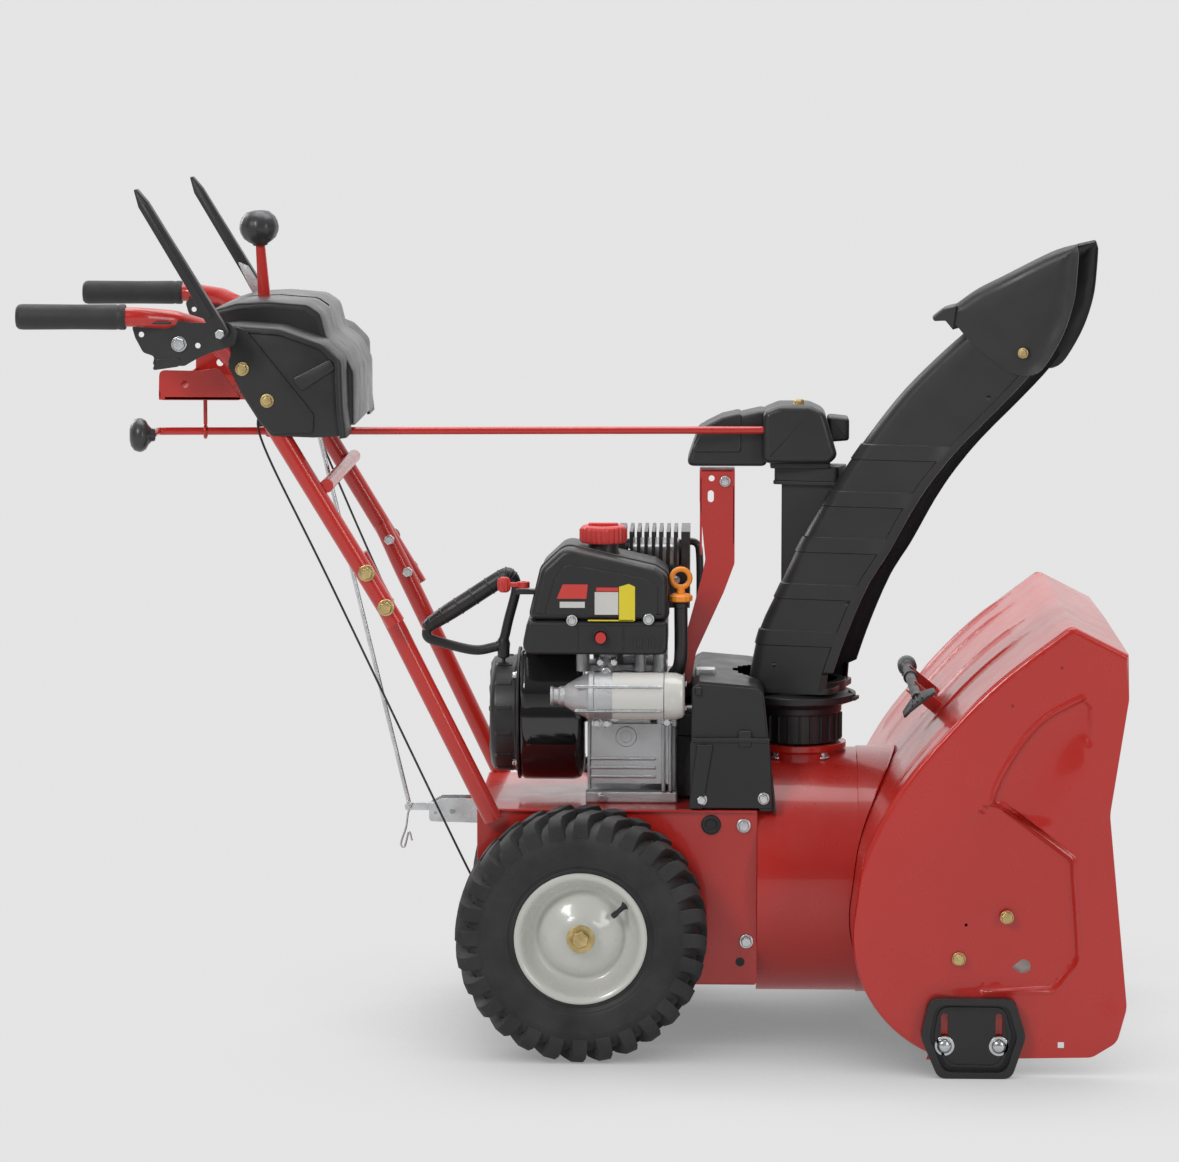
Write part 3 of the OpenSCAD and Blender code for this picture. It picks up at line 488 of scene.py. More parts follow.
def sweep(bm, path, radius, steps=16, flat=1.0):
    """A tube along a path; radius is a number or one per point."""
    pts = [Vector(p) for p in path]
    radii = list(radius) if isinstance(radius, (list, tuple)) else [radius] * len(pts)
    side = None
    rings = []
    for i, p in enumerate(pts):
        way = (pts[min(i + 1, len(pts) - 1)] - pts[max(i - 1, 0)]).normalized()
        side = basis(way)[0] if side is None else (side - way * side.dot(way)).normalized()
        up = way.cross(side)
        rings.append([p + side * radii[i] * math.cos(2 * math.pi * k / steps)
                      + up * radii[i] * flat * math.sin(2 * math.pi * k / steps) for k in range(steps)])
    loft(bm, rings)


def sheet(bm, outline, holes, to_point, thick, spacing=0.0, guides=()):
    """A sheet with holes. to_point(u, v, depth) places it in space, and guides are extra lines in it."""
    outline = [Vector(p[:2]) for p in outline]
    holes = [[Vector(p[:2]) for p in hole] for hole in holes]
    coords, edges = [], []
    for loop in [outline] + holes:
        first = len(coords)
        coords += loop
        edges += [(first + k, first + (k + 1) % len(loop)) for k in range(len(loop))]
    for line in guides:
        first = len(coords)
        coords += [Vector(p[:2]) for p in line]
        edges += [(first + k, first + k + 1) for k in range(len(line) - 1)]
    if spacing:
        rims = [loop + loop[:1] for loop in [outline] + holes]
        low = [min(p[i] for p in outline) for i in (0, 1)]
        size = [max(p[i] for p in outline) - low[i] for i in (0, 1)]
        cols, rows = [max(int(s / spacing), 1) for s in size]
        for i in range(cols + 1):
            for j in range(rows + 1):
                p = Vector((low[0] + size[0] * i / cols, low[1] + size[1] * j / rows))
                if inside(p, outline) and not any(inside(p, h) for h in holes):
                    if all(distance_to(p, rim) > spacing * 0.35 for rim in rims):
                        coords.append(p)
    points, _, faces, _, _, _ = delaunay_2d_cdt(coords, edges, [], 1, 1e-5)
    kept = []
    for f in faces:
        middle = sum((points[i] for i in f), Vector((0, 0))) / len(f)
        if inside(middle, outline) and not any(inside(middle, h) for h in holes):
            kept.append(f)
    tops = [bm.verts.new(to_point(p[0], p[1], 0)) for p in points]
    lows = [bm.verts.new(to_point(p[0], p[1], thick)) for p in points]
    used = {}
    for f in kept:
        bm.faces.new([tops[i] for i in f])
        bm.faces.new([lows[i] for i in reversed(f)])
        for a, b in zip(f, list(f[1:]) + [f[0]]):
            used[(a, b)] = True
    for a, b in used:
        if (b, a) not in used:
            bm.faces.new((tops[b], tops[a], lows[a], lows[b]))
    for v in [v for v in bm.verts if not v.link_faces]:
        bm.verts.remove(v)


def plate(bm, outline, holes, y0, y1):
    """A flat plate in X and Z with holes, from y0 to y1."""
    sheet(bm, outline, holes, lambda u, v, d: Vector((u, y0 + d, v)), y1 - y0)


def hex_bolt(bm, centre, axis, across=16.0, high=6.0, washer=0.0, turn=0.3):
    """A chamfered hexagonal head on its washer."""
    axis = Vector(axis).normalized()
    side, up = basis(axis)
    base = Vector(centre)
    if washer:
        turned(bm, [(washer, 0), (washer, 1.6), (washer - 0.8, 2.2)], base, axis, 28)
        base = base + axis * 2
    r = across / math.sqrt(3)
    rings = []
    for share, h in ((1, 0), (1, high * 0.75), (0.86, high), (0.5, high + 0.2)):
        ring = []
        for k in range(24):
            a = 2 * math.pi * k / 24
            flat = r * math.cos(math.pi / 6) / math.cos((a % (math.pi / 3)) - math.pi / 6)
            out = min(flat, r) * share
            ring.append(base + (side * math.cos(a + turn) + up * math.sin(a + turn)) * out + axis * h)
        rings.append(ring)
    loft(bm, rings)


def mirrored(bm):
    """Adds the shape's mirror image on the machine's other side."""
    copy = bmesh.ops.duplicate(bm, geom=bm.verts[:] + bm.edges[:] + bm.faces[:])["geom"]
    for v in [g for g in copy if isinstance(g, bmesh.types.BMVert)]:
        v.co.y = -v.co.y
    bmesh.ops.reverse_faces(bm, faces=[g for g in copy if isinstance(g, bmesh.types.BMFace)])


def piece(name, bm, material, body, nodes=(), place=None, bevel=0.0, segments=2, limit=32):
    """Makes the shape an object: metres, finish, softened edges, and the CAD body it rides on."""
    bmesh.ops.recalc_face_normals(bm, faces=bm.faces[:])
    bm.transform(TO_ROW @ (place or Matrix.Identity(4)))
    mesh = bpy.data.meshes.new(name)
    bm.to_mesh(mesh)
    bm.free()
    mesh.materials.append(material)
    mesh.polygons.foreach_set("use_smooth", [True] * len(mesh.polygons))
    obj = bpy.data.objects.new(name, mesh)
    bpy.context.scene.collection.objects.link(obj)
    if bevel:
        edge = obj.modifiers.new("edges", "BEVEL")
        edge.width = bevel * MM
        edge.segments = segments
        edge.limit_method = "ANGLE"
        edge.angle_limit = math.radians(limit)
        edge.use_clamp_overlap = True
        edge.miter_outer = "MITER_ARC"
        normals = obj.modifiers.new("normals", "WEIGHTED_NORMAL")
        normals.keep_sharp = False
        normals.weight = 80
    else:
        mesh.set_sharp_from_angle(angle=math.radians(limit))
    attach(obj, body)
    if nodes:
        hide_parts(*nodes)
    return obj


# ---------------------------------------------------------------- wheels

TYRE_R, WHEEL_Y, RIM_R = 165, 208, 87


def tyre_lug(bm, angle, outward, hub):
    """A block from the sidewall over the shoulder to the middle of the tread."""
    outline = [(129, 45.5), (136, 49.5), (150, 50), (158, 47.5), (164, 40), (164.6, 22), (164.6, 3.5),
               (149, 3.5),
               (147, 40), (132, 43)]
    rings = []
    for sign in (-1, 1):
        ring = []
        for r, y in outline:
            half = 8.2 + (TYRE_R - r) * 0.06
            lean = (50 - y) * 0.0028 * outward
            a = angle + lean + sign * half / r
            ring.append(hub + Vector((r * math.cos(a), y * outward, r * math.sin(a))))
        rings.append(ring)
    loft(bm, rings)


def make_tyre(name, side, material):
    bm = bmesh.new()
    hub = Vector((0, WHEEL_Y * side, TYRE_R))
    half = [(80, 36), (86, 41), (90, 41.5), (92, 40), (95, 42.5), (97, 44.5), (99, 44), (101, 45.8),
            (112, 48.4),
            (121, 49), (124, 49.8), (126, 49.4), (134, 47.5), (144, 42), (151, 30), (153, 14), (153.5, 0)]
    profile = half + [(r, -y) for r, y in reversed(half[:-1])]
    turned(bm, profile, hub, (0, 1, 0), 96, closed=True)
    lugs = 28
    for i in range(lugs):
        tyre_lug(bm, math.pi / 2 + 2 * math.pi * i / lugs, -1, hub)
        tyre_lug(bm, math.pi / 2 + 2 * math.pi * (i + 0.5) / lugs, 1, hub)
    return piece(name, bm, material, "wheels", ("tyres",), bevel=1.6, segments=2, limit=40)


def make_rim(name, side, mats):
    hub = Vector((0, WHEEL_Y * side, TYRE_R))
    axis = (0, side, 0)
    bm = bmesh.new()
    profile = [(12, 39.5), (16, 39.5), (18, 37), (21, 33), (30, 29), (42, 24), (50, 19), (54, 15), (56, 12),
               (58, 10.5),
               (61, 10.5), (64, 12), (70, 20), (74, 30), (76.5, 38), (78, 41), (81, 43.5), (84.5, 44.6),
               (86.6, 43.2),
               (86.8, 40.5), (84, 39.4), (80, 37), (79, 30), (78, 12), (73, 3), (73, -3), (78, -12),
               (79, -30),
               (80, -37), (84, -39.4), (86.8, -40.5), (86.6, -43.2), (84.5, -44.6), (81, -43.5), (77, -39),
               (70, -20), (66, 2), (58, 6), (50, 14), (36, 20), (24, 24), (20, 0), (18, -36), (12, -36)]
    turned(bm, profile, hub, axis, 96, closed=True)
    piece(name, bm, mats["rim"], "wheels", ("rims",), limit=50)
    bolts = bmesh.new()
    hex_bolt(bolts, hub + Vector((0, 42.2 * side, 0)), axis, 21.4, 8.4, washer=18.5)
    piece(name + "_bolt", bolts, mats["gold"], "wheels", bevel=0.4)
    stem = bmesh.new()
    base = hub + Vector((57, 22 * side, 40))
    tip = base + Vector((-17, 12 * side, -13))
    way = (tip - base).normalized()
    turned(stem, [(6.2, -6), (6.2, -1), (4.6, 1), (3.4, 4), (3.2, 14), (3.9, 15), (3.9, 21), (3.2, 22.6)],
           base, way, 20)
    piece(name + "_valve", stem, mats["rubber"], "wheels", bevel=0.4)


def make_wheels(mats):
    for side, name in ((-1, "right"), (1, "left")):
        make_tyre("tyre_" + name, side, mats["tyre"])
        make_rim("rim_" + name, side, mats)


# ---------------------------------------------------------------- auger housing

HOUSING_HALF, AUGER_X, AUGER_Z, IMPELLER_Z, DRUM_R = 305, 518.6, 181, 214, 166
WRAP_ARC = [(AUGER_X + 167 * math.cos(math.radians(a)), AUGER_Z + 167 * math.sin(math.radians(a)))
            for a in range(246, 167, -4)]
WRAP_BACK = WRAP_ARC + spline([WRAP_ARC[-1], (368, 288), (411, 373), (474, 451), (537, 515), (627, 585)],
                              5)[1:]
TOP_FRONT = [(700, 548)]
SIDE_FRONT = [(701, 490), (679, 342), (704, 90), (692, 45), (660, 25), (447, 21)]


def housing_profile():
    """The shell's line from the bottom, up the back and over the top to the front edge."""
    line = [Vector(p) for p in WRAP_BACK[:-1]]
    corner = fillet([line[-1], (627, 585), TOP_FRONT[0]], 12, 6, closed=False)
    return line[:-1] + corner


def side_outline():
    front = fillet([TOP_FRONT[0]] + SIDE_FRONT, [0, 20, 60, 40, 22, 22, 4], 5, closed=False)
    return housing_profile()[:-1] + front


CREASE = fillet([(520, 111), (612, 111), (643, 150), (633, 284), (541, 352), (527, 356)],
                [0, 22, 34, 14, 12, 0], 5,
                closed=False)
SCOOP = spline([(527, 357), (538, 388), (567, 436), (598, 468), (640, 492)], 5)


def emboss_side(x, z):
    """How far the side plate is pressed in at a point."""
    p = Vector((x, z))
    behind = [q for q in CREASE] + [Vector((500, 330)), Vector((420, 250)), Vector((420, 111))]
    step = distance_to(p, CREASE)
    press = 6.5 * rise(step, 0, 6) * rise(x, 455, 545) if inside(p, behind) else 0
    bead = -2.6 * (1 - rise(step, 0, 5.5)) * rise(x, 515, 560)
    hollow = list(SCOOP) + [Vector((652, 480)), Vector((640, 300))] + list(reversed(CREASE[-8:]))
    edge = distance_to(p, SCOOP)
    scoop = 6.0 * rise(edge, 0, 8) * (1 - rise(edge, 30, 95)) if inside(p, hollow) and z > 330 else 0
    rib = -1.6 * (1 - rise(edge, 0, 5))
    front = 2.6 * rise(x, 664, 671) * rise(z, 70, 110) * (1 - rise(z, 330, 350)) * (1 - rise(x, 690, 700))
    return press + bead + scoop + rib + front


def make_side_plate(name, side, material, node):
    outline = side_outline()
    holes = [[Vector(p) for p in ((616, 37), (624, 37), (624, 45), (616, 45))]]
    holes += [circle(x, z, 2.1, 10) for x, z in ((615, 531), (553, 482), (497, 197))]
    holes.append(fillet([(556, 141), (569, 133), (580, 136), (581, 148), (570, 153)], [1, 6, 6, 6, 6], 3))
    back = [Vector(p) for p in housing_profile()]
    middle = Vector((540, 250))
    loops = []
    for inset in (2, 4.5, 8):
        loops.append([p + (middle - p).normalized() * inset for p in back])

    def place(u, v, depth):
        rim = distance_to(Vector((u, v)), back)
        round_in = 6 * (1 - math.sqrt(max(1 - (1 - min(rim / 7, 1)) ** 2, 0))) if rim < 7 else 0
        press = emboss_side(u, v) if rim > 7 else 0
        return Vector((u, side * (HOUSING_HALF - round_in - press - depth), v))

    bm = bmesh.new()
    guides = loops + [parallel(line, d) for line in (CREASE, SCOOP) for d in (-6, -4, -2, 0, 2, 4, 6)]
    sheet(bm, outline, holes, place, 2.6, spacing=6.0, guides=guides)
    piece(name, bm, material, "machine", (node,), limit=38)


SHELL_RIBS = [(y, 455, 578) for y in (278, 178, -8, -128)]


def make_shell(mats):
    profile = housing_profile()
    total = lengths(profile)
    span = total[-1]
    half = HOUSING_HALF - 6

    def frame_at(u):
        s = min(max(u, 0), span)
        a, b = along(profile, (s - 2) / span), along(profile, (s + 2) / span)
        way = (b - a).normalized()
        return along(profile, s / span), Vector((-way.y, way.x))

    def rib(u, v, p):
        height = 0
        for y, x0, x1 in SHELL_RIBS:
            on = rise(p.x, x0, x0 + 12) * (1 - rise(p.x, x1 - 12, x1))
            height += 3.5 * on * (1 - rise(abs(v - y), 4, 11)) * (p.y > 300)
        for y in (120, 235, -70, -250):
            on = rise(p.x, 404, 414) * (1 - rise(p.x, 466, 478))
            height += 2.5 * on * (1 - rise(abs(v - y), 3, 9)) * (p.y > 300)
        return height

    def place(u, v, depth):
        p, out = frame_at(u)
        bow = 8 * rise(u, span - 70, span) * (1 - (v / half) ** 2)
        q = p + out * (rib(u, v, p) - depth)
        return Vector((q.x + bow, v, q.y + bow * 0.4))

    drum = []
    for k in range(48):
        a = 2 * math.pi * k / 48
        y, z = 162 * math.sin(a), IMPELLER_Z + 162 * math.cos(a)
        drum.append(Vector((shell_length(profile, total, z), y)))
    outline = [Vector((u, -half)) for u in total] + [Vector((u, half)) for u in reversed(total)]
    guides = []
    for y, x0, x1 in SHELL_RIBS:
        us = [u for u, p in zip(total, profile) if x0 - 20 < p.x < x1 + 20 and p.y > 300]
        for d in (-11, -7, -4, 4, 7, 11):
            guides.append([Vector((u + 0.01, y + d)) for u in us])
    bm = bmesh.new()
    sheet(bm, outline, [drum], place, 2.6, spacing=13.0, guides=guides)
    piece("housing_wrap", bm, mats["red"], "machine", ("housing_shell",), limit=40)
    clips = bmesh.new()
    outline = [(-40, -9), (6, -9), (8, -7), (0, -6.6), (-5, -5.5), (-7.2, 0), (-5, 5.5), (0, 6.6), (8, 7),
               (6, 9), (-40, 9)]
    spots = [(438 + clip_x(u, w), clip_z(u, w)) for u, w in outline]
    prism(clips, spots, 72, 76)
    mirrored(clips)
    piece("tool_clips", clips, mats["red"], "machine", bevel=0.6)


def clip_x(u, w):
    """X from a tool clip's own axes: u away from the housing, w across."""
    return u * -math.cos(math.radians(39)) + w * math.sin(math.radians(39))


def clip_z(u, w):
    return 470 + u * math.sin(math.radians(39)) + w * math.cos(math.radians(39))


def shell_length(profile, total, z):
    """Arc length along the housing's back at height z."""
    for i in range(len(profile) - 1):
        a, b = profile[i], profile[i + 1]
        if a.y <= z <= b.y:
            return total[i] + (total[i + 1] - total[i]) * (z - a.y) / (b.y - a.y)
    return 0.0


def make_drum(mats):
    """The impeller drum: a rear can, a lapped front can, weld flange and the chute's seat."""
    profile = housing_profile()
    bm = bmesh.new()
    steps = 96
    rings = []
    stations = [0, 0.03, 0.5, 0.62, 0.63, 0.8, 0.97, 1.0]
    lift = [0, 0, 0, 0, 1.8, 1.8, 1.8, 5]
    for share, extra in zip(stations, lift):
        ring = []
        for k in range(steps):
            a = 2 * math.pi * k / steps
            z = IMPELLER_Z + DRUM_R * math.cos(a)
            end = x_at(profile, max(z, 60)) - 1
            seam = 230 + (363 - 230) * min(share / 0.62, 1)
            x = min(seam, end) if share <= 0.62 else min(363,
                                                         end) + (end - min(363, end)) * (share - 0.62) / 0.38
            r = DRUM_R - 1.8 + extra
            ring.append(Vector((x, r * math.sin(a), IMPELLER_Z + r * math.cos(a))))
        rings.append(ring)
    inner = []
    for share in (1.0, 0.0):
        ring = []
        for k in range(steps):
            a = 2 * math.pi * k / steps
            r = DRUM_R - 4
            end = x_at(profile, max(IMPELLER_Z + r * math.cos(a), 60)) + 2
            x = 234 + (end - 234) * share
            ring.append(Vector((x, r * math.sin(a), IMPELLER_Z + r * math.cos(a))))
        inner.append(ring)
    loft(bm, rings + inner, caps=False)
    back = [(20, 0), (DRUM_R - 3.5, 0), (DRUM_R - 3.5, 3), (20, 3)]
    turned(bm, back, (230.2, 0, IMPELLER_Z), (1, 0, 0), steps, closed=True)
    piece("impeller_drum", bm, mats["red"], "machine", ("impeller_housing",), limit=35)
    seat = bmesh.new()
    turned(seat, [(60, 362), (58.5, 378), (63, 381), (63, 389), (50.5, 389), (50.5, 340), (60, 340)],
           (287, 0, 0), (0, 0, 1), 48, closed=True)
    piece("chute_seat", seat, mats["red"], "machine", bevel=0.6)
    bolts = bmesh.new()
    for x, y in ((256, -44), (318, -44)):
        hex_bolt(bolts, (x, y, 373), (0, -0.25, 1), 12, 6, washer=9)
        rod(bolts, (x, y, 378), (x, y - 0.25, 388), 3.5)
    piece("drum_bolts", bolts, mats["zinc"], "machine", bevel=0.4)


def shoe_outline(grow=0.0):
    pts = [Vector(p) for p in ((462, 0), (556, 0), (574, 55), (559, 104), (450, 104), (439, 54))]
    middle = Vector((506, 52))
    pts = [p + (middle - p).normalized() * -grow for p in pts]
    return fillet(pts, [16, 16, 22, 16, 16, 22], 5)


def make_shoes(mats):
    bm = bmesh.new()
    slots = [slot_outline(x, 41, 79, 4.6) for x in (470, 540)]
    plate(bm, shoe_outline(-1), slots, HOUSING_HALF + 0.2, HOUSING_HALF + 7)
    plate(bm, shoe_outline(0), [shoe_outline(-11)], HOUSING_HALF + 0.2, HOUSING_HALF + 17.6)
    plate(bm, shoe_outline(-17), [shoe_outline(-22)], HOUSING_HALF + 6, HOUSING_HALF + 9)
    mirrored(bm)
    piece("skid_shoe_mouldings", bm, mats["black"], "machine", ("skid_shoes",), bevel=1.6,
          segments=3)
    bolts = bmesh.new()
    for x in (470, 540):
        turned(bolts, [(13, 0), (13, 1.5), (12, 2)], (x, HOUSING_HALF + 7, 41), (0, 1, 0), 28)
        turned(bolts, [(9.5, 0), (9.5, 1.5), (8, 4), (5, 5.6), (1, 6)], (x, HOUSING_HALF + 8.5, 41),
               (0, 1, 0), 28)
    mirrored(bolts)
    piece("shoe_bolts", bolts, mats["zinc"], "machine", ("housing_bolts",), bevel=0.3)
    gold = bmesh.new()
    for x, z in ((549, 208), (488, 153)):
        hex_bolt(gold, (x, HOUSING_HALF, z), (0, 1, 0), 14, 5.5, washer=9)
    mirrored(gold)
    piece("bearing_bolts", gold, mats["gold"], "machine", ("housing_bolts",), bevel=0.4)


def make_housing(mats):
    make_side_plate("housing_side_right", -1, mats["red"], "side_plate_right")
    make_side_plate("housing_side_left", 1, mats["red"], "side_plate_left")
    make_shell(mats)
    make_drum(mats)
    make_shoes(mats)


# ---------------------------------------------------------------- chute

CHUTE_X = 287
CHUTE_TURN = math.radians(-15)
CHUTE_FRAME = Matrix.Translation((CHUTE_X, 0, 0)) @ Matrix.Rotation(CHUTE_TURN, 4, "Z")
SPINE = spline([(-60, 466), (-44, 542), (-17, 601), (16, 671), (57, 740), (97, 799), (147, 864), (196, 914),
                (236, 950)], 4)
LIPS = spline([(58, 466), (63, 493), (85, 555), (110, 612), (137, 655), (178, 728), (225, 790), (283, 850),
               (320, 890), (344, 922)], 4)
CHUTE_BANDS = [536, 599, 662, 724, 787]
CHUTE_HALF = 69.6
FOOT_R, FOOT_TOP = 81.0, 490


def chute_section(z, out):
    """The channel's outline at height z, from the lip on one side round the back to the other lip."""
    back = x_at(SPINE, z) if z <= 950 else 236
    lip = x_at(LIPS, z) if z <= 922 else 344 - (z - 922) * 3.6
    bend = 22
    strip = 14
    half = CHUTE_HALF
    near = []
    shares = [0, 0.25, 0.5, 0.75, 1]
    for x, extra in ((lip, 2.2), (lip - 3, 2.6), (lip - strip + 1, 2.6), (lip - strip - 1, 0)):
        near.append((x, half - 2.6 + extra, extra > 0))
    start, end = lip - strip - 1, back + bend
    for s in shares[1:]:
        near.append((start + (end - start) * s, half - 2.6, False))
    for k in range(1, 7):
        a = math.pi / 2 * k / 6
        near.append((back + bend - bend * math.sin(a), half - 2.6 - bend + bend * math.cos(a), False))
    line = [(x, -y, lipped) for x, y, lipped in near]
    flat = [(back, y, False) for y in (-25, 0, 25)]
    line += flat + [(x, y, lipped) for x, y, lipped in reversed(near)]
    points = []
    count = len(line)
    for i, (x, y, lipped) in enumerate(line):
        a, b = line[max(i - 1, 0)], line[min(i + 1, count - 1)]
        way = Vector((b[0] - a[0], b[1] - a[1])).normalized()
        normal = Vector((-way.y, way.x))
        if lipped:
            normal = Vector((0, math.copysign(1, y)))
        move = out if out < 0 or not lipped else 0
        spot = Vector((x + normal.x * move, y + normal.y * move))
        limit = FOOT_R + min(out, 0)
        if z < FOOT_TOP and spot.length > limit:
            spot *= limit / spot.length
        points.append(Vector((spot.x, spot.y, z)))
    return points


def chute_heights():
    marks = {466.0, 474.0, 488.0, 492.0, 500.0}
    for band in CHUTE_BANDS:
        marks |= {band - 10.8, band - 9.6, band + 9.6, band + 10.8}
    for z in range(520, 945, 14):
        if all(abs(z - m) > 5 for m in marks):
            marks.add(float(z))
    marks.add(945.0)
    return sorted(marks)


def make_chute(mats):
    bm = bmesh.new()
    outer, inner = [], []
    for z in chute_heights():
        raised = 1.8 if any(abs(z - band) < 10 for band in CHUTE_BANDS) else 0.0
        outer.append(chute_section(z, raised))
        inner.append(chute_section(z, -3.2))
    closed_rings = [o + list(reversed(i)) for o, i in zip(outer, inner)]
    loft(bm, closed_rings, caps=False)
    for ring in (closed_rings[0], closed_rings[-1]):
        half = len(ring) // 2
        verts = [bm.verts.new(p) for p in ring]
        for k in range(half - 1):
            bm.faces.new((verts[k], verts[k + 1], verts[-k - 2], verts[-k - 1]))
    bmesh.ops.remove_doubles(bm, verts=bm.verts[:], dist=0.01)
    place = CHUTE_FRAME
    piece("chute_channel", bm, mats["black"], "chute", ("chute_lower",), place, limit=28)

    base = bmesh.new()
    turned(base, [(50.2, 391), (55, 391), (55, 428), (57, 431), (57, 438), (62, 441), (76, 446), (76, 455),
                  (70, 457),
                  (63, 459), (63, 474), (50.2, 474)], (0, 0, 0), (0, 0, 1), 64, closed=True)
    for k in range(24):
        a = 2 * math.pi * k / 24
        out = Vector((math.cos(a), math.sin(a), 0))
        side = Vector((-out.y, out.x, 0))
        corners = [out * r + side * s for r, s in ((54, -1.6), (58, -1.2), (58, 1.2), (54, 1.6))]
        prism_z(base, [(c.x, c.y) for c in corners], 393, 428)
    deck = fillet([(-58, -66), (60, -66), (60, 66), (-58, 66)], [20, 20, 20, 20], 5)
    sheet(base, deck, [circle(0, 0, 50.2, 40)], lambda u, v, d: Vector((u, v, 461 + d)), 8)
    block(base, (58, -12, 447), (80, 12, 452))
    prism(base, [(68, 452), (79, 452), (68, 461)], -2, 2)
    piece("chute_neck", base, mats["black"], "chute", (), place, bevel=0.8)

    post = bmesh.new()
    web = [(-20, 596), (-20, 740), (58, 740), (57, 738), (16, 671), (-17, 601)]
    for y in (-17, 17):
        prism(post, web, y - 1.8, y + 1.8)
    prism(post, [(-22, 600), (-22, 740), (-18, 740), (-18, 608)], -17, 17)
    prism(post, [(8, 676), (12, 676), (12, 740), (8, 740)], -17, 17)
    head = fillet([(-32, -28), (59, -28), (59, 28), (-32, 28)], 7, 4)
    prism_z(post, head, 737, 742)
    prism_z(post, [(x * 0.97 + 0.4, y * 0.95) for x, y in head], 742, 762)
    turned(post, [(14, 762), (13, 765), (8, 766), (8, 796)], (0, 0, 0), (0, 0, 1), 32)
    piece("chute_post", post, mats["black"], "chute", (), place, bevel=0.8)

    bolts = bmesh.new()
    hex_bolt(bolts, (315, 76, 922), (0, 1, 0), 9, 3.2, washer=7)
    mirrored(bolts)
    piece("chute_pivot_bolts", bolts, mats["gold"], "chute", (), place, bevel=0.3)
    dots = bmesh.new()
    for x, z in ((268, 862), (-18, 500), (82, 584)):
        turned(dots, [(3.4, 0), (3.4, 0.5), (2.2, 0.7)], (x, 66.8, z), (0, 1, 0), 16)
    mirrored(dots)
    piece("chute_hole_plugs", dots, mats["gloss"], "chute", (), place)


def make_deflector(mats):
    hood = spline([(218, 981), (249, 1003), (282, 1020), (347, 1053), (382, 1064)], 6)
    edge = spline([(224, 958), (243, 937), (271, 915), (296, 897), (316, 892), (335, 897), (350, 916),
                   (368, 951),
                   (380, 991), (384, 1031), (385, 1052)], 6)
    half, bend, wall = 73.6, 16, 3
    stations = 44
    hoods, edges = resampled(hood, stations), resampled(edge, stations)
    front = [p for p in edge if p.x > 330]

    def section(top, low, inward):
        length = (top - low).length
        steps = [0, 0.06, 0.12, 0.2, 0.3, 0.42, 0.55, 0.68]
        line = []
        for s in steps:
            p = low.lerp(top, s)
            gap = distance_to(p, front)
            groove = 1.6 * (1 - rise(gap, 5, 7)) - 1.2 * (1 - rise(abs(gap - 16), 1, 3))
            line.append((p, half - 2 + groove))
        crown = min(bend, length * 0.3)
        for k in range(7):
            a = math.pi / 2 * k / 6
            p = low.lerp(top, 1 - crown * (1 - math.sin(a)) / length)
            line.append((p, half - 2 - bend + bend * math.cos(a)))
        line.append((top, 25))
        line.append((top, 0))
        points = []
        down = (low - top).normalized()
        for p, y in line:
            shrink = 0 if not inward else wall
            blend = rise(y, half - 2 - bend, half - 2)
            q = p + down * shrink * (1 - blend)
            points.append(Vector((q.x, -(y - shrink * blend), q.y)))
        points += [Vector((p.x, -p.y, p.z)) for p in reversed(points[:-1])]
        return points

    bm = bmesh.new()
    rings = []
    for top, low in zip(hoods, edges):
        rings.append(section(top, low, False) + list(reversed(section(top, low, True))))
    loft(bm, rings, caps=False)
    for ring in (rings[0], rings[-1]):
        verts = [bm.verts.new(p) for p in ring]
        for k in range(len(ring) // 2 - 1):
            bm.faces.new((verts[k], verts[k + 1], verts[-k - 2], verts[-k - 1]))
    bmesh.ops.remove_doubles(bm, verts=bm.verts[:], dist=0.01)
    place = CHUTE_FRAME
    piece("deflector_hood", bm, mats["black"], "deflector", ("chute_deflector",), place,
          limit=40)
    visor = bmesh.new()
    rows = []
    for y, fall in ((-76, 0), (-70, 3), (-40, 6), (0, 7), (40, 6), (70, 3), (76, 0)):
        rows.append([Vector((x - fall * k, y, z + fall * k * 0.5)) for x, z, k in
                     ((226, 982, 0), (208, 977, 0.7), (196, 966, 1), (197, 961, 1), (212, 962, 0.7),
                      (222, 950, 0))])
    loft(visor, rows)
    piece("deflector_visor", visor, mats["black"], "deflector", (), place, bevel=1.5,
          segments=3)


# ---------------------------------------------------------------- more solid helpers

def inset(outline, depth):
    """A closed outline moved inward by a depth."""
    pts = [Vector(p[:2]) for p in outline]
    n = len(pts)
    area = sum(pts[i].x * pts[(i + 1) % n].y - pts[(i + 1) % n].x * pts[i].y for i in range(n))
    sign = 1 if area > 0 else -1
    moved = []
    for i, p in enumerate(pts):
        a, b = (p - pts[i - 1]).normalized(), (pts[(i + 1) % n] - p).normalized()
        bisector = Vector((-(a + b).y, (a + b).x)).normalized() * sign
        cosine = max((a.dot((a + b).normalized())), 0.5)
        moved.append(p + bisector * depth / cosine)
    return moved


def spread_point(plane):
    """How a flat outline's point and its depth become a point in space."""
    return {"xz": lambda p, d: Vector((p[0], d, p[1])), "yz": lambda p, d: Vector((d, p[0], p[1])),
            "xy": lambda p, d: Vector((p[0], p[1], d))}[plane]


def pillow(bm, outline, d0, d1, r, plane="xz", steps=4, place=None):
    """An outline pushed from d0 to d1 with both its ends rounded by r."""
    to_space = place or spread_point(plane)
    rings = []
    quarter = [math.pi / 2 * k / steps for k in range(steps + 1)]
    for a in quarter:
        rings.append([to_space(p, d0 + r * (1 - math.cos(a))) for p in inset(outline, r * (1 - math.sin(a)))])
    for a in reversed(quarter):
        rings.append([to_space(p, d1 - r * (1 - math.cos(a))) for p in inset(outline, r * (1 - math.sin(a)))])
    loft(bm, rings)


